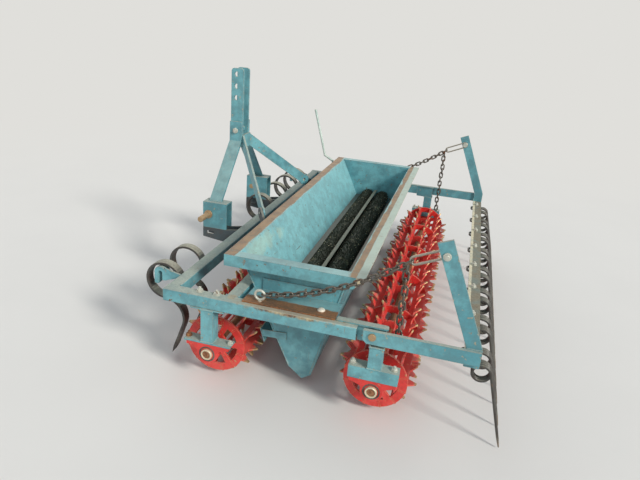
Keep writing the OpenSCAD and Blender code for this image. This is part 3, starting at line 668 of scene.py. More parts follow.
def skin(shape, rings, closed=False):
    """Faces from ring to ring, and over both ends unless the last ring meets the first."""
    pairs = list(zip(rings, rings[1:])) + ([(rings[-1], rings[0])] if closed else [])
    for low, high in pairs:
        for k in range(len(low)):
            n = (k + 1) % len(low)
            shape.faces.new((low[k], low[n], high[n], high[k]))
    if not closed:
        shape.faces.new(list(reversed(rings[0])))
        shape.faces.new(rings[-1])


def tube(shape, points, radii, sides=10, closed=False):
    """Sweeps a round wire along points, with a radius for each of them."""
    last = len(points) - 1
    side = None
    rings = []
    for i, point in enumerate(points):
        before = points[i - 1] if i or closed else points[0]
        after = points[0 if i == last else i + 1] if i < last or closed else points[-1]
        along = (after - before).normalized()
        side = (side - along * side.dot(along)).normalized() if side else beside(along)
        rings.append(ring(shape, point, radii[i], along, side, sides))
    skin(shape, rings, closed)


def lathe(shape, centre, axis, profile, sides=40):
    """Turns a profile of (along, radius) rows about an axis, and closes its ends."""
    axis = Vector(axis)
    skin(shape, [ring(shape, centre + axis * along, radius, axis, beside(axis), sides)
                 for along, radius in profile])


def block(shape, low, high, bevel):
    """A box between two corners with its edges rounded."""
    made = bmesh.ops.create_cube(shape, size=1)["verts"]
    for vert in made:
        vert.co = Vector(((low[i] + high[i]) / 2 + vert.co[i] * (high[i] - low[i])
                          for i in range(3)))
    edges = list({edge for vert in made for edge in vert.link_edges})
    bmesh.ops.bevel(shape, geom=edges, offset=bevel, segments=2, affect="EDGES", profile=0.5)


# Geometry node trees

class Geo(Net):
    """A geometry node tree with named inputs."""

    def __init__(self, name, inputs):
        tree = bpy.data.node_groups.new(name, "GeometryNodeTree")
        super().__init__(tree)
        tree.interface.new_socket("Geometry", in_out="INPUT", socket_type="NodeSocketGeometry")
        for label, default in inputs.items():
            kind = "NodeSocketInt" if isinstance(default, int) else "NodeSocketFloat"
            socket = tree.interface.new_socket(label, in_out="INPUT", socket_type=kind)
            socket.default_value = default
        tree.interface.new_socket("Material", in_out="INPUT", socket_type="NodeSocketMaterial")
        tree.interface.new_socket("Geometry", in_out="OUTPUT", socket_type="NodeSocketGeometry")
        self.given = self.add("NodeGroupInput").outputs

    def make(self, kind, inputs, **settings):
        """The first output of a new node."""
        return self.add(kind, inputs, **settings).outputs[0]

    def end(self, geometry):
        """Realizes the copies, sets their material and ends the tree."""
        real = self.make("GeometryNodeRealizeInstances", {0: geometry})
        finished = self.make("GeometryNodeSetMaterial", {"Geometry": real,
                                                         "Material": self.given["Material"]})
        self.add("NodeGroupOutput", {0: finished})

    def join(self, *items):
        node = self.add("GeometryNodeJoinGeometry")
        for item in items:
            self.tree.links.new(item, node.inputs[0])
        return node.outputs[0]

    def moved(self, geometry, move=None, scale=None):
        return self.make("GeometryNodeTransform", {"Geometry": geometry, "Translation": move,
                                                   "Scale": scale})

    def high(self, height):
        """A vector that points up."""
        return self.make("ShaderNodeCombineXYZ", {2: height})

    def half(self, value):
        return self.times(value, 0.5)

    def smooth(self, geometry, on=True):
        return self.make("GeometryNodeSetShadeSmooth", {"Geometry": geometry, "Shade Smooth": on})

    def between(self, low, high):
        """A random number for each copy."""
        node = self.add("FunctionNodeRandomValue", {"Min": low, "Max": high}, data_type="FLOAT")
        return node.outputs[1]

    def kept(self, label, kind):
        """The value that a point carries under a name."""
        return self.make("GeometryNodeInputNamedAttribute", {"Name": label}, data_type=kind)

    def copies(self, points, one, turn=None, size=None):
        return self.make("GeometryNodeInstanceOnPoints", {"Points": points, "Instance": one,
                                                          "Rotation": turn, "Scale": size})

    def laid_out(self, one):
        """A copy on each given point, with the turn and the size that the point carries."""
        turn = self.make("FunctionNodeEulerToRotation", {0: self.kept("turn", "FLOAT_VECTOR")})
        return self.copies(self.given["Geometry"], one, turn, self.kept("size", "FLOAT"))


def hexagons(geo):
    """Hexagon heads or nuts with a washer and the end of a stud, one on each point."""
    given = geo.given
    washer_height = 0.002
    radius = geo.times(given["Across Flats"], 0.5774)
    straight = geo.times(given["Head Height"], 0.80)
    washer = geo.make("GeometryNodeMeshCylinder",
                      {"Vertices": 20, "Radius": geo.half(given["Washer Diameter"]),
                       "Depth": washer_height})
    head = geo.make("GeometryNodeMeshCylinder",
                    {"Vertices": 6, "Radius": radius, "Depth": straight})
    crown = geo.make("GeometryNodeMeshCone",
                     {"Vertices": 6, "Radius Bottom": radius,
                      "Radius Top": geo.times(radius, 0.84),
                      "Depth": geo.times(given["Head Height"], 0.20)})
    stud = geo.make("GeometryNodeMeshCone",
                    {"Vertices": 14, "Radius Bottom": geo.times(radius, 0.52),
                     "Radius Top": geo.times(radius, 0.44),
                     "Depth": geo.plus(given["Stud Length"], given["Head Height"])})
    one = geo.join(geo.moved(washer, (0, 0, washer_height / 2)),
                   geo.moved(head, geo.high(geo.plus(geo.half(straight), washer_height))),
                   geo.moved(crown, geo.high(geo.plus(straight, washer_height))),
                   geo.moved(stud, (0, 0, washer_height)))
    return geo.laid_out(geo.smooth(one, False))


def domes(geo):
    """Domed bolt heads, one on each point."""
    radius = geo.half(geo.given["Head Diameter"])
    ball = geo.make("GeometryNodeMeshUVSphere", {"Segments": 20, "Rings": 10, "Radius": radius})
    flat = geo.make("ShaderNodeCombineXYZ",
                    {0: 1, 1: 1, 2: geo.math("DIVIDE", geo.given["Rise"], radius)})
    return geo.laid_out(geo.smooth(geo.moved(ball, scale=flat)))


def links(geo):
    """Round-wire chain links, one on each point."""
    given = geo.given
    wide = geo.minus(given["Width"], given["Wire"])
    oval = geo.make("GeometryNodeCurvePrimitiveQuadrilateral",
                    {"Width": geo.plus(given["Inner Length"], given["Wire"]), "Height": wide})
    rounded = geo.make("GeometryNodeFilletCurve",
                       {"Curve": oval, "Count": 5, "Radius": geo.times(wide, 0.495)}, mode="POLY")
    section = geo.make("GeometryNodeCurvePrimitiveCircle",
                       {"Resolution": 8, "Radius": geo.half(given["Wire"])})
    wire = geo.make("GeometryNodeCurveToMesh", {"Curve": rounded, "Profile Curve": section})
    return geo.laid_out(geo.smooth(wire))


def bristles(geo):
    """Tufts of bristle over the surface of a core, leaning at random."""
    given = geo.given
    spread = geo.add("GeometryNodeDistributePointsOnFaces",
                     {"Mesh": given["Geometry"], "Seed": given["Seed"],
                      "Density": geo.math("DIVIDE", given["Tufts"], given["Core Area"])},
                     distribute_method="RANDOM")
    tuft = geo.make("GeometryNodeMeshCone",
                    {"Vertices": 4, "Radius Bottom": geo.half(given["Tuft Width"]),
                     "Radius Top": geo.times(given["Tuft Width"], 0.28),
                     "Depth": given["Tuft Length"]}, fill_type="NONE")
    lean = geo.make("FunctionNodeRandomValue",
                    {"Min": (-0.35, -0.35, 0), "Max": (0.35, 0.35, 3.1), "Seed": given["Seed"]},
                    data_type="FLOAT_VECTOR")
    stand = geo.make("FunctionNodeRotateRotation",
                     {0: spread.outputs["Rotation"],
                      1: geo.make("FunctionNodeEulerToRotation", {0: lean})},
                     rotation_space="LOCAL")
    grown_tufts = geo.copies(spread.outputs["Points"], tuft, stand, geo.between(0.75, 1.0))
    return geo.join(grown_tufts, given["Geometry"])


def grains(geo):
    """Seeds, one on each point."""
    ball = geo.make("GeometryNodeMeshIcoSphere",
                    {"Subdivisions": 2, "Radius": geo.half(geo.given["Seed Size"])})
    return geo.laid_out(geo.smooth(geo.moved(ball, scale=(1.7, 1.0, 0.8))))


def beads(geo):
    """Weld beads: overlapping drops along polylines."""
    line = geo.make("GeometryNodeMeshToCurve", {"Mesh": geo.given["Geometry"]})
    steps = geo.make("GeometryNodeResampleCurve", {"Curve": line, "Length": geo.given["Step"]},
                     mode="LENGTH")
    drop = geo.make("GeometryNodeMeshIcoSphere",
                    {"Subdivisions": 2, "Radius": geo.half(geo.given["Bead Width"])})
    return geo.copies(steps, geo.smooth(drop), size=geo.between(0.8, 1.1))


# Each tree's name, its builder and the defaults of its inputs
TREES = {
    "Hexagon fasteners": (hexagons, {"Across Flats": 0.017, "Head Height": 0.007,
                                     "Washer Diameter": 0.022, "Stud Length": 0.004}),
    "Domed heads": (domes, {"Head Diameter": 0.02, "Rise": 0.006}),
    "Chain links": (links, {"Inner Length": 0.0235, "Width": 0.0215, "Wire": 0.0062}),
    "Bristles": (bristles, {"Tufts": 7000, "Core Area": 0.25, "Tuft Length": 0.006,
                            "Tuft Width": 0.0022, "Seed": 4}),
    "Strewn seeds": (grains, {"Seed Size": 0.0032}),
    "Weld beads": (beads, {"Bead Width": 0.006, "Step": 0.0032}),
}


def geometry_tree(name):
    """One of the trees, built once."""
    if name not in bpy.data.node_groups:
        build, inputs = TREES[name]
        geo = Geo(name, inputs)
        geo.end(build(geo))
    return bpy.data.node_groups[name]


def grown(name, tree_name, carrier, inputs, body):
    """Runs a geometry node tree on a carrier mesh and keeps the result as a plain mesh."""
    tree = geometry_tree(tree_name)
    source = bpy.data.objects.new(name + "_carrier", carrier)
    bpy.context.scene.collection.objects.link(source)
    modifier = source.modifiers.new("Grow", "NODES")
    modifier.node_group = tree
    for item in tree.interface.items_tree:
        if item.item_type == "SOCKET" and item.in_out == "INPUT" and item.name in inputs:
            modifier[item.identifier] = inputs[item.name]
    bpy.context.view_layer.update()
    graph = bpy.context.evaluated_depsgraph_get()
    mesh = bpy.data.meshes.new_from_object(source.evaluated_get(graph))
    bpy.data.objects.remove(source)
    for label in ("turn", "size"):
        if label in mesh.attributes:
            mesh.attributes.remove(mesh.attributes[label])
    if not mesh.polygons:
        raise RuntimeError(f"{name} came out empty")
    mesh.name = name
    return add_piece(name, mesh, body)


def posed_points(places, turns, sizes):
    """Points that each carry a turn and a size."""
    mesh = bpy.data.meshes.new("points")
    mesh.from_pydata(places, [], [])
    mesh.attributes.new("turn", "FLOAT_VECTOR", "POINT")
    mesh.attributes.new("size", "FLOAT", "POINT")
    mesh.attributes["turn"].data.foreach_set("vector", [v for turn in turns for v in turn])
    mesh.attributes["size"].data.foreach_set("value", sizes)
    return mesh


def facing_points(rows):
    """Posed points. rows: place, direction of the local Z, spin about it and size."""
    turns = []
    for _, direction, spin, _ in rows:
        spun = Matrix.Rotation(spin, 3, "Z").to_quaternion()
        turns.append((Vector(direction).to_track_quat("Z", "Y") @ spun).to_euler())
    return posed_points([row[0] for row in rows], turns, [row[3] for row in rows])


def lines_mesh(lines):
    """Polylines as a mesh of edges."""
    points, edges = [], []
    for line in lines:
        start = len(points)
        points += line
        edges += [(start + i, start + i + 1) for i in range(len(line) - 1)]
    mesh = bpy.data.meshes.new("lines")
    mesh.from_pydata(points, edges, [])
    return mesh


# Pieces of the drill

class SEEDDRILL_OT_finish_nodes(bpy.types.Operator):
    """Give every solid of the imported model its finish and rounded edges"""
    bl_idname = "seed_drill.finish_nodes"
    bl_label = "Finish the solids"

    def execute(self, context):
        for material, rounding, names in finishes():
            for name in names.split():
                node = NODES[name]
                node.data.materials.clear()
                node.data.materials.append(material)
                if rounding:
                    self.round_edges(node, rounding / 1000)
        return {"FINISHED"}

    def round_edges(self, node, radius):
        """Joins the loose triangles to plain faces, and rounds the edges between those."""
        weld = node.modifiers.new("Join triangles", "WELD")
        weld.merge_threshold = 0.00002
        flat = node.modifiers.new("Plain faces", "DECIMATE")
        flat.decimate_type = "DISSOLVE"
        flat.angle_limit = math.radians(1)
        edge = node.modifiers.new("Rounded edges", "BEVEL")
        edge.width = radius
        edge.segments = 2
        edge.limit_method = "ANGLE"
        edge.angle_limit = math.radians(35)
        edge.harden_normals = True
        edge.use_clamp_overlap = True


class SEEDDRILL_OT_chains(bpy.types.Operator):
    """Hang the two slack chains of round-wire links from the eyes to the uprights"""
    bl_idname = "seed_drill.chains"
    bl_label = "Chains"

    EYE, PIN = (300, 784, 346), (813, 784, 575)
    # Metres from the eye to the first link, and from the pin back to the last one
    FROM_EYE, FROM_PIN = 0.0103, 0.0963
    # Body, side, distance back to the spare end, links in the spare end, random seed
    CHAINS = (("left_chain", 1, 704, 10, 3), ("right_chain", -1, 704, 14, 8))
    # The shackle's wire radius, half its width, and its reach behind and before the pin
    SHACKLE = (0.0034, 0.0115, 0.0105, 0.1003)

    def execute(self, context):
        sizes = context.scene.seed_drill_chain
        steel = bare_metal("Chain steel", shade(112, 106, 98), shade(38, 34, 30), 0.42, 0.38, 0.8)
        eye, pin = place(*self.EYE), place(*self.PIN)
        along = (pin - eye).normalized()
        run = self.slack_run(eye + along * self.FROM_EYE, pin - along * self.FROM_PIN, sizes.sag)
        for node, side, tail_s, tail_links, seed in self.CHAINS:
            rng = random.Random(seed)
            rows, top = self.run_links(run, sizes.inner, tail_s, rng)
            rows += self.tail_links(top, sizes.inner, tail_links, rng)
            posed = [self.link(*row, side) for row in rows]
            carrier = posed_points([row[0] for row in posed], [row[1] for row in posed],
                                   [1.0] * len(posed))
            piece = grown(node + "_links", "Chain links", carrier,
                          {"Inner Length": sizes.inner, "Width": sizes.width, "Wire": sizes.wire,
                           "Material": steel}, node)
            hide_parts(node)
            self.shackle(node, pin, along, side)
        return {"FINISHED"}

    def slack_run(self, start, end, sag):
        """The points of a slack curve, and the distance along it to each of them."""
        low = (start + end) / 2 - Vector((0, 0, sag))
        pull = 2 * low - (start + end) / 2
        curve = []
        for i in range(401):
            t = i / 400
            curve.append(start * (1 - t) ** 2 + pull * 2 * t * (1 - t) + end * t ** 2)
        distances = [0.0]
        for a, b in zip(curve, curve[1:]):
            distances.append(distances[-1] + (b - a).length)
        return curve, distances

    def run_links(self, run, inner, tail_s, rng):
        """Centre, direction and lie of the links on the slack run, in even steps, and the
        centre of the link that the spare end hangs from."""
        curve, distances = run

        def on_run(distance):
            return next((point for point, so_far in zip(curve, distances) if so_far >= distance),
                        curve[-1])
        free = distances[-1] - inner
        gaps = 2 * math.ceil(free / (inner - 0.0006) / 2)
        step = free / gaps
        rows = []
        top = None
        for k in range(gaps + 1):
            a, b = on_run(k * step), on_run(k * step + inner)
            centre = (a + b) / 2
            lie = math.pi / 2 * (k % 2)
            if 0 < k < gaps:
                lie += rng.uniform(-0.16, 0.16)
            rows.append((centre, (b - a).normalized(), lie))
            if top is None and X_MID - centre.x * 1000 >= tail_s:
                top = centre
        return rows, top

    def tail_links(self, top, inner, count, rng):
        """Centre, direction and lie of the links of the spare end."""
        rows = []
        for k in range(count):
            centre = Vector((top.x, top.y, top.z - 0.004 - (k + 0.5) * (inner - 0.0008)))
            centre.x += 0.0016 * math.sin(k * 1.3)
            lie = math.pi / 2 * (k % 2) + rng.uniform(-0.2, 0.2)
            rows.append((centre, Vector((0.0, 0.0, -1.0)), lie))
        return rows

    def link(self, centre, way, lie, side):
        """A link's place and turn: local X along the chain, turned by lie about it."""
        across = Vector((0, 1, 0))
        up = way.cross(across).normalized()
        flat = across * math.cos(lie) + up * math.sin(lie)
        axes = Matrix((way, flat, way.cross(flat))).transposed()
        if side < 0:
            flip = Matrix.Diagonal((1, -1, 1))
            axes = flip @ axes @ flip
        return Vector((centre.x, side * centre.y, centre.z)), axes.to_euler()

    def shackle(self, node, pin, along, side):
        """Long round-wire shackle round the upright's pin."""
        radius, wide, behind, before = self.SHACKLE
        up = Vector((0, 1, 0)).cross(along).normalized()
        points = []
        for end, way, over in ((pin + along * behind, along, up),
                               (pin - along * before, -along, -up)):
            for k in range(9):
                turn = math.pi * (k / 8 - 0.5)
                point = end - way * wide + wide * (math.cos(turn) * way + math.sin(turn) * over)
                points.append(Vector((point.x, side * point.y, point.z)))
        shape = bmesh.new()
        tube(shape, points, [radius] * len(points), 12, closed=True)
        steel = bare_metal("Shackle steel", shade(168, 164, 152), shade(70, 62, 54), 0.25, 0.3,
                           0.9)
        mesh_piece(node + "_shackle", shape, node, steel, 60)


class SEEDDRILL_OT_harrow_tines(bpy.types.Operator):
    """Wind the double harrow tines from one wire each, with a clamp under the crossbar"""
    bl_idname = "seed_drill.harrow_tines"
    bl_label = "Harrow tines"

    # Radius of the wire, centre (s, z) and radius of the coils
    WIRE = 4.3
    COIL = (958, 233)
    COIL_R = 25.5
    # Where the coil starts, in degrees, its turns, and the shift sideways in each turn
    FIRST, TURNS, PITCH = 15.1, 3.177, 8.9
    # The prongs' distance from the tine's middle, and their tips' place and height
    PRONG_Y, TIP_S, TIP_Z = 49.0, 1050, 6
    # Forward under the crossbar, through the clamp and across to the other half:
    # s, shift towards the middle, z
    LEG = ((950, 0, 260.2), (936, 0, 261.6), (920, 0, 262.6), (905, 0, 263.0),
           (901.5, 1.0, 263.0), (899, 3.5, 263.0), (898, 7, 263.0))
    # Corners of a clamp about the tine's middle
    CLAMP = ((933, -38, 256.5), (907, 38, 275.7))

    def execute(self, context):
        colours = context.scene.seed_drill_paint
        black = painted("Spring wire", colours.black, shade(66, 64, 60), wear=0.3, rust=0.2,
                        dust=0.3, gloss=0.3, steel=shade(140, 132, 118), bare=self.worn_tips)
        wires, clamps = bmesh.new(), bmesh.new()
        for y in HARROW_ROWS:
            self.one_tine(wires, y)
            low, high = [place(s, y + side, z) for s, side, z in self.CLAMP]
            block(clamps, low, high, 0.002)
        piece = mesh_piece("harrow_tine_wires", wires, "harrow", black, 60)
        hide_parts("harrow_tines")
        mesh_piece("harrow_tine_clamps", clamps, "harrow", black_paint())
        return {"FINISHED"}

    def worn_tips(self, net):
        """Bright prongs near the ground."""
        at = net.place()
        grain = net.times(net.noise(at, 30, 5, 0.6), 0.05)
        return net.ramp(net.plus(net.split(at)[2], grain), 0.09, 0.04)

    def one_tine(self, shape, y):
        """Prong, coil and leg of one half, and the same mirrored for the other."""
        s0, z0 = self.COIL
        tip_s = self.TIP_S - self.WIRE * 0.98

        def on_coil(angle):
            return s0 + self.COIL_R * math.cos(angle), z0 + self.COIL_R * math.sin(angle)
        first = math.radians(self.FIRST)
        start_s, start_z = on_coil(first)
        half = []
        for i in range(9):
            t = i / 8
            half.append((tip_s + (start_s - tip_s) * t, self.PRONG_Y,
                         self.TIP_Z + (start_z - self.TIP_Z) * t))
        steps = 74
        for i in range(1, steps + 1):
            turned = self.TURNS * i / steps
            s, z = on_coil(first + 2 * math.pi * turned)
            half.append((s, self.PRONG_Y - self.PITCH * turned, z))
        leg_y = self.PRONG_Y - self.PITCH * self.TURNS
        half += [(s, leg_y - inwards, z) for s, inwards, z in self.LEG]
        other = [(s, -side, z) for s, side, z in reversed(half)]
        points = [place(s, y + side, z) for s, side, z in half + other]
        radii = [self.WIRE / 1000] * len(points)
        # Blunt points on the prongs
        for i, scale in enumerate((0.45, 0.92)):
            radii[i] *= scale
            radii[-1 - i] *= scale
        tube(shape, points, radii)


class SEEDDRILL_OT_brushes(bpy.types.Operator):
    """Grow the bristles of the two feed brushes and leave a few seeds in them"""
    bl_idname = "seed_drill.brushes"
    bl_label = "Feed brushes"

    # Body and random seed
    BRUSHES = (("front_brush", 4), ("rear_brush", 9))
    SHAFT_RADIUS = 0.012
    SEEDS = 230
    # Corners of the flat strip that divides the brushes
    DIVIDER = ((398, -699.6, 288), (384, 699.6, 291))

    def execute(self, context):
        sizes = context.scene.seed_drill_brush
        bristle, seed = self.bristle_material(sizes), self.seed_material(sizes)
        for node, number in self.BRUSHES:
            axis = Vector(JOINTS[node + "_spin"]["pos_m"])
            self.bristles(node, axis, sizes, number, bristle)
            self.seeds(node, axis, sizes, number, seed)
        shape = bmesh.new()
        low, high = [place(*corner) for corner in self.DIVIDER]
        block(shape, low, high, 0.0006)
        mesh_piece("brush_divider", shape, "frame",
                   painted("Divider paint", shade(96, 108, 92), shade(120, 126, 104), wear=0.5,
                           rust=0.3, dust=0.5))
        return {"FINISHED"}

    def bristles(self, node, axis, sizes, number, material):
        """The brush's core with its tufts, in place of the plain cylinder."""
        shape = bmesh.new()
        core, inside = sizes.core, self.SHAFT_RADIUS
        lathe(shape, axis - Vector((0, BRUSH_LENGTH / 2, 0)), (0, 1, 0),
              [(0, inside), (0, core), (BRUSH_LENGTH, core), (BRUSH_LENGTH, inside)])
        piece = grown(node + "_bristles", "Bristles", plain_mesh(node, shape),
                      {"Tufts": sizes.tufts, "Core Area": 2 * math.pi * core * BRUSH_LENGTH,
                       "Tuft Length": sizes.tuft, "Tuft Width": 0.0026, "Seed": number,
                       "Material": material}, node)
        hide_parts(node)

    def seeds(self, node, axis, sizes, number, material):
        """Seeds caught between the tufts."""
        rng = random.Random(number)
        rows = []
        for _ in range(self.SEEDS):
            turn = rng.uniform(0, 2 * math.pi)
            out = Vector((math.cos(turn), 0, math.sin(turn)))
            spot = axis + out * (sizes.core + rng.uniform(0.0025, 0.0052))
            spot.y += rng.uniform(-0.68, 0.68)
            lay = Vector((rng.uniform(-1, 1), rng.uniform(-1, 1), rng.uniform(-1, 1)))
            rows.append((spot, lay, 0, rng.uniform(0.6, 1.1)))
        grown(node + "_seeds", "Strewn seeds", facing_points(rows),
              {"Seed Size": 0.003, "Material": material}, node)

    def bristle_material(self, sizes):
        material, net, surface, _ = new_material("Bristle")
        at = net.place()
        fine = net.ramp(net.noise(at, 420, 2, 0.5), 0.3, 0.75)
        dusty = net.ramp(net.noise(at, 16, 4, 0.6), 0.58, 0.75, 0, 0.35)
        bristle = net.mix(fine, sizes.dark, tuple(min(1, c * 2.1) for c in sizes.dark))
        net.feed(surface.inputs["Base Color"], net.mix(dusty, bristle, sizes.seed))
        surface.inputs["Roughness"].default_value = 0.7
        return material

    def seed_material(self, sizes):
        material, net, surface, _ = new_material("Seed")
        tone = net.noise(net.place(), 90, 2, 0.5)
        net.feed(surface.inputs["Base Color"],
                 net.mix(tone, sizes.seed, tuple(c * 0.6 for c in sizes.seed)))
        surface.inputs["Roughness"].default_value = 0.55
        return material


class SEEDDRILL_OT_fasteners(bpy.types.Operator):
    """Set the bolts, nuts and washers of the frame, bearings, headstock and harrow"""
    bl_idname = "seed_drill.fasteners"
    bl_label = "Bolts and nuts"

    def execute(self, context):
        colours = context.scene.seed_drill_paint
        zinc = bare_metal("Bolt zinc", colours.zinc, shade(120, 112, 96), 0.3, 0.38, 0.35)
        rusty = bare_metal("Rusty bolt", shade(176, 128, 86), shade(92, 58, 38), 0.7, 0.6, 0.4)
        pale = bare_metal("Pale bolt", shade(226, 222, 206), shade(150, 130, 104), 0.2, 0.5, 0.2)
        forward, up, down = (1, 0, 0), (0, 0, 1), (0, 0, -1)
        # Rows of s, y, z, direction and size: on the side members over the front legs
        bright = both([(109, 791, 322, up, 1.0), (165, 791, 322, up, 1.0)])
        # Beside each front tine, on its cap plate
        bright += [(-14, y + d * (width / 2 + 9), 276, forward, 0.85)
                   for y, width in FRONT_TINES for d in (-1, 1)]
        # On the foot plates of the rear legs, and at the back of the front ones
        bright += both([(600, 800, 199, up, 0.95), (722, 800, 199, up, 0.95),
                        (215, 800, 165.7, up, 0.85)])
        self.set_bolts("frame_bolts", bright, "frame", zinc, 0.006)
        # At the front of the front foot plates, gone rusty
        self.set_bolts("foot_bolts", both([(76, 800, 165.7, up, 0.95)]), "frame", rusty, 0.008)
        # Through the mast plates, and square to the stays' wings
        mast = [(-107, side * 39, 667, (0, side, 0), 1.25) for side in (1, -1)]
        mast += [(108, side * 275, 415, (0.78, side * 0.62, 0), 0.9) for side in (1, -1)]
        self.set_bolts("headstock_bolts", mast, "frame", zinc, 0.004)
        # Through the crossbar and the tines' clamps, from below
        nuts = [(921, y, 282, up, 0.95) for y in HARROW_ROWS]
        self.set_bolts("harrow_nuts", nuts, "harrow", zinc, 0.005)
        under = [(920, y, 256.5, down, 0.9) for y in HARROW_ROWS]
        self.set_bolts("harrow_bolts", under, "harrow", rusty, 0.0)
        # Holding the hopper's straps to the side members
        grown("hopper_domed_bolts", "Domed heads", self.points(both([(485, 766, 326, up, 1.0)])),
              {"Head Diameter": 0.024, "Rise": 0.0075, "Material": pale}, "frame")
        return {"FINISHED"}

    def points(self, rows):
        """Points for bolts, each head spun at random."""
        rng = random.Random(11)
        return facing_points([(place(s, y, z), way, rng.uniform(0, 1.0), size)
                              for s, y, z, way, size in rows])

    def set_bolts(self, name, rows, body, material, stud):
        """Hexagon heads with a stud's end that stands out by stud metres."""
        sizes = bpy.context.scene.seed_drill_fasteners
        grown(name, "Hexagon fasteners", self.points(rows),
              {"Across Flats": sizes.flats, "Head Height": sizes.head,
               "Washer Diameter": sizes.washer, "Stud Length": stud, "Material": material},
              body)


class SEEDDRILL_OT_welds(bpy.types.Operator):
    """Lay weld beads where tubes and plates meet"""
    bl_idname = "seed_drill.welds"
    bl_label = "Welds"

    def execute(self, context):
        # Rear face of the front tube and both faces of the second one, at the members
        frame_runs = [[(s, 779.5, 323), (s, 779.5, 284)] for s in (40, 192, 232)]
        # Legs: top and foot
        for s, low, high in ((145, 166, 277), (665, 200, 271)):
            for z in (low, high):
                frame_runs += [[(s - 20, 820, z), (s + 20, 820, z)],
                               [(s + 20, 820, z), (s + 20, 781, z)],
                               [(s - 20, 820, z), (s - 20, 781, z)]]
        # Gusset bases to the front tube
        frame_runs += [[(-0.5, y, 316), (-0.5, y, 276)] for y in (198, 204, 246, 252)]
        # Mast legs to the brackets, stay strap to the mast
        frame_runs += [[(-133, 232, 415.5), (-81, 232, 415.5)], [(-81, 34, 648), (-81, 34, 600)]]
        # Hopper corners, outside
        frame_runs += [[(202, 703, 430), (378, 703, 70)], [(548, 703, 430), (449, 703, 54)]]
        self.lay("frame_welds", frame_runs, "frame")
        # Uprights to the harrow's arms
        self.lay("harrow_welds", [[(903, 799.5, 322), (903, 799.5, 284)],
                                  [(905, 808, 322.5), (943, 808, 322.5)]], "harrow")
        return {"FINISHED"}

    def lay(self, name, runs, body):
        """Beads along runs of places, on both sides of the drill."""
        width = bpy.context.scene.seed_drill_fasteners.weld
        lines = [[place(s, side * y, z) for s, y, z in run] for run in runs for side in (1, -1)]
        grown(name, "Weld beads", lines_mesh(lines),
              {"Bead Width": width, "Step": width * 0.5, "Material": teal()}, body)


class SEEDDRILL_OT_bearings(bpy.types.Operator):
    """Set the seals and the inner rings of the pillow blocks' bearings"""
    bl_idname = "seed_drill.bearings"
    bl_label = "Bearings"

    # Outlines of distance out from the block's face and radius, in metres
    SEAL = ((-0.010, 0.0185), (0.0005, 0.0215), (0.0018, 0.0235), (0.0006, 0.0262),
            (-0.004, 0.0262))
    RING = ((-0.005, 0.0128), (0.0050, 0.0128), (0.0068, 0.0134), (0.0072, 0.0168),
            (0.0060, 0.0180), (-0.005, 0.0180))

    def execute(self, context):
        cream = bare_metal("Bearing ring", shade(226, 216, 186), shade(150, 120, 84), 0.25, 0.4,
                           0.3)
        for end in ("front", "rear"):
            self.turned(end, "_bearing_seals", self.SEAL, "frame", "red_paint", black_paint())
            self.turned(end, "_bearing_rings", self.RING, end + "_roller", "worn_steel", cream)
        return {"FINISHED"}

    def turned(self, end, suffix, profile, body, slot_name, material):
        """A turned part on the outer face of both blocks of a roller."""
        axis = Vector(JOINTS[end + "_roller_spin"]["pos_m"])
        shape = bmesh.new()
        for side in (1, -1):
            lathe(shape, axis + Vector((0, side * BLOCK_FACE, 0)), (0, side, 0), profile)
        mesh_piece(end + suffix, shape, body, material)


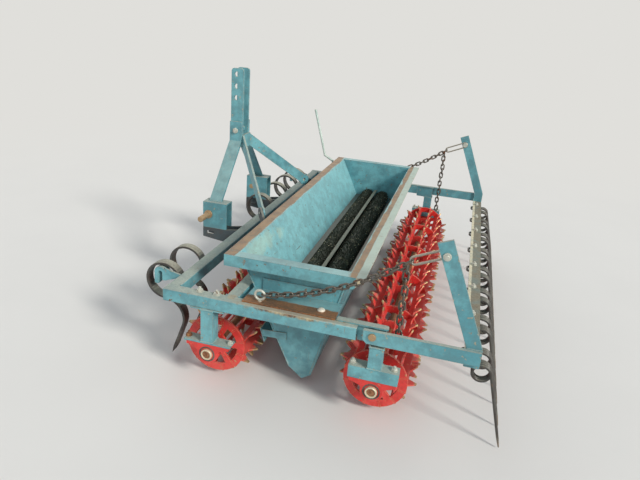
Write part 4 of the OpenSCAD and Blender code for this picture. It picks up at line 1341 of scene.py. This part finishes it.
class SEEDDRILL_OT_stage(bpy.types.Operator):
    """Set the camera, the pale floor and the soft lights"""
    bl_idname = "seed_drill.stage"
    bl_label = "Stage"

    BACKDROP = shade(224, 223, 219)
    # Distances from the middle over which the floor turns to the backdrop's colour
    FADE = (1.1, 4.5)
    # Name, direction, strength, width in degrees and colour
    LAMPS = (("Key", (-1.85, 1.04, 1.30), 2.6, 12, (1.0, 0.97, 0.92)),
             ("Fill", (0.5, 2.0, 1.2), 0.3, 60, (0.94, 0.97, 1.0)),
             ("Back", (1.2, -1.4, 1.0), 0.7, 60, (1.0, 0.98, 0.95)))
    SKY, SKY_STRENGTH = (0.86, 0.92, 1.0), 0.42
    # The camera's lens, place and axes
    LENS = 31.06
    CAMERA_AT = (-0.356, 2.157, 1.107)
    CAMERA_RIGHT, CAMERA_BACK = (-0.961, -0.266, 0.075), (-0.222, 0.904, 0.366)

    def execute(self, context):
        scene = context.scene
        scene.view_settings.view_transform = "Standard"
        self.camera(scene)
        self.floor(scene)
        self.world(scene)
        for lamp in self.LAMPS:
            self.lamp(scene, *lamp)
        return {"FINISHED"}

    def camera(self, scene):
        """A camera off the drill's left side, a little to the rear, looking down at it."""
        data = bpy.data.cameras.new("Camera")
        data.lens = self.LENS
        data.sensor_width = 36
        data.clip_start = 0.02
        back = Vector(self.CAMERA_BACK).normalized()
        up = back.cross(Vector(self.CAMERA_RIGHT).normalized()).normalized()
        placed = Matrix((up.cross(back), up, back)).transposed().to_4x4()
        placed.translation = self.CAMERA_AT
        camera = bpy.data.objects.new("Camera", data)
        camera.matrix_world = placed
        scene.collection.objects.link(camera)
        scene.camera = camera

    def floor(self, scene):
        """A wide pale floor that keeps the drill's shadow."""
        shape = bmesh.new()
        bmesh.ops.create_grid(shape, x_segments=1, y_segments=1, size=30)
        mesh = bpy.data.meshes.new("Floor")
        shape.to_mesh(mesh)
        shape.free()
        material, net, surface, out = new_material("Pale floor")
        at = net.place()
        tone = net.ramp(net.noise(at, 2.0, 3, 0.5), 0.3, 0.7, 0.98, 1.0)
        net.feed(surface.inputs["Base Color"],
                 net.mix(1.0, shade(226, 225, 221), tone, blend="MULTIPLY"))
        surface.inputs["Roughness"].default_value = 0.9
        # Far off, what the camera and the metal see is the backdrop's own colour
        glow = net.add("ShaderNodeEmission", {"Color": self.BACKDROP})
        far = net.ramp(net.vector("LENGTH", at, output=1), *self.FADE)
        blend = net.mix_shader(net.times(far, net.seen()), surface.outputs[0], glow.outputs[0])
        # Clear from below, so that the underside can be seen
        below = net.add("ShaderNodeNewGeometry").outputs["Backfacing"]
        clear = net.add("ShaderNodeBsdfTransparent").outputs[0]
        net.feed(out, net.mix_shader(below, blend, clear))
        mesh.materials.append(material)
        floor = bpy.data.objects.new("Floor", mesh)
        scene.collection.objects.link(floor)
        floor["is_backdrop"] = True

    def world(self, scene):
        """A pale blue sky for light, and the backdrop's colour behind the drill."""
        world = bpy.data.worlds.new("Studio")
        scene.world = world
        world.use_nodes = True
        world.node_tree.nodes.clear()
        net = Net(world.node_tree)
        light = net.add("ShaderNodeBackground", {"Color": self.SKY,
                                                 "Strength": self.SKY_STRENGTH})
        backdrop = net.add("ShaderNodeBackground", {"Color": self.BACKDROP, "Strength": 1.0})
        net.add("ShaderNodeOutputWorld", {"Surface": net.mix_shader(
            net.seen(), light.outputs[0], backdrop.outputs[0])})

    def lamp(self, scene, name, source, power, spread, tint):
        """A distant soft light from a direction; spread is its width in degrees."""
        data = bpy.data.lights.new(name, "SUN")
        data.energy = power
        data.angle = math.radians(spread)
        data.color = tint
        lamp = bpy.data.objects.new(name, data)
        lamp.rotation_euler = Vector(source).to_track_quat("Z", "Y").to_euler()
        scene.collection.objects.link(lamp)


OPERATORS = (SEEDDRILL_OT_finish_nodes, SEEDDRILL_OT_chains, SEEDDRILL_OT_harrow_tines,
             SEEDDRILL_OT_brushes, SEEDDRILL_OT_fasteners, SEEDDRILL_OT_welds,
             SEEDDRILL_OT_bearings, SEEDDRILL_OT_stage)


class SEEDDRILL_PT_panel(bpy.types.Panel):
    """Lists the drill's pieces, sizes and colours"""
    bl_idname = "SEEDDRILL_PT_panel"
    bl_label = "Seed drill"
    bl_space_type = "VIEW_3D"
    bl_region_type = "UI"
    bl_category = "Seed drill"

    def draw(self, context):
        for group in SETTINGS:
            box = self.layout.box()
            settings = getattr(context.scene, "seed_drill_" + group)
            for name in settings.bl_rna.properties.keys():
                if name not in ("rna_type", "name"):
                    box.prop(settings, name)
        for operator in OPERATORS:
            self.layout.operator(operator.bl_idname)


CLASSES = (*SETTINGS.values(), *OPERATORS, SEEDDRILL_PT_panel)


def register():
    for item in CLASSES:
        bpy.utils.register_class(item)
    for group, kind in SETTINGS.items():
        setattr(bpy.types.Scene, "seed_drill_" + group, PointerProperty(type=kind))


def unregister():
    for group in SETTINGS:
        delattr(bpy.types.Scene, "seed_drill_" + group)
    for item in reversed(CLASSES):
        bpy.utils.unregister_class(item)


def corners(box):
    """A box's corners as plain numbers."""
    return [[float(value) for value in corner] for corner in box]


def main():
    register()
    bpy.ops.seed_drill.finish_nodes()
    bpy.ops.seed_drill.chains()
    bpy.ops.seed_drill.harrow_tines()
    bpy.ops.seed_drill.brushes()
    bpy.ops.seed_drill.fasteners()
    bpy.ops.seed_drill.welds()
    bpy.ops.seed_drill.bearings()
    bpy.ops.seed_drill.stage()
    {"cad": corners(CAD_BOX), "visual": corners(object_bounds())}


if __name__ == "__main__":
    main()
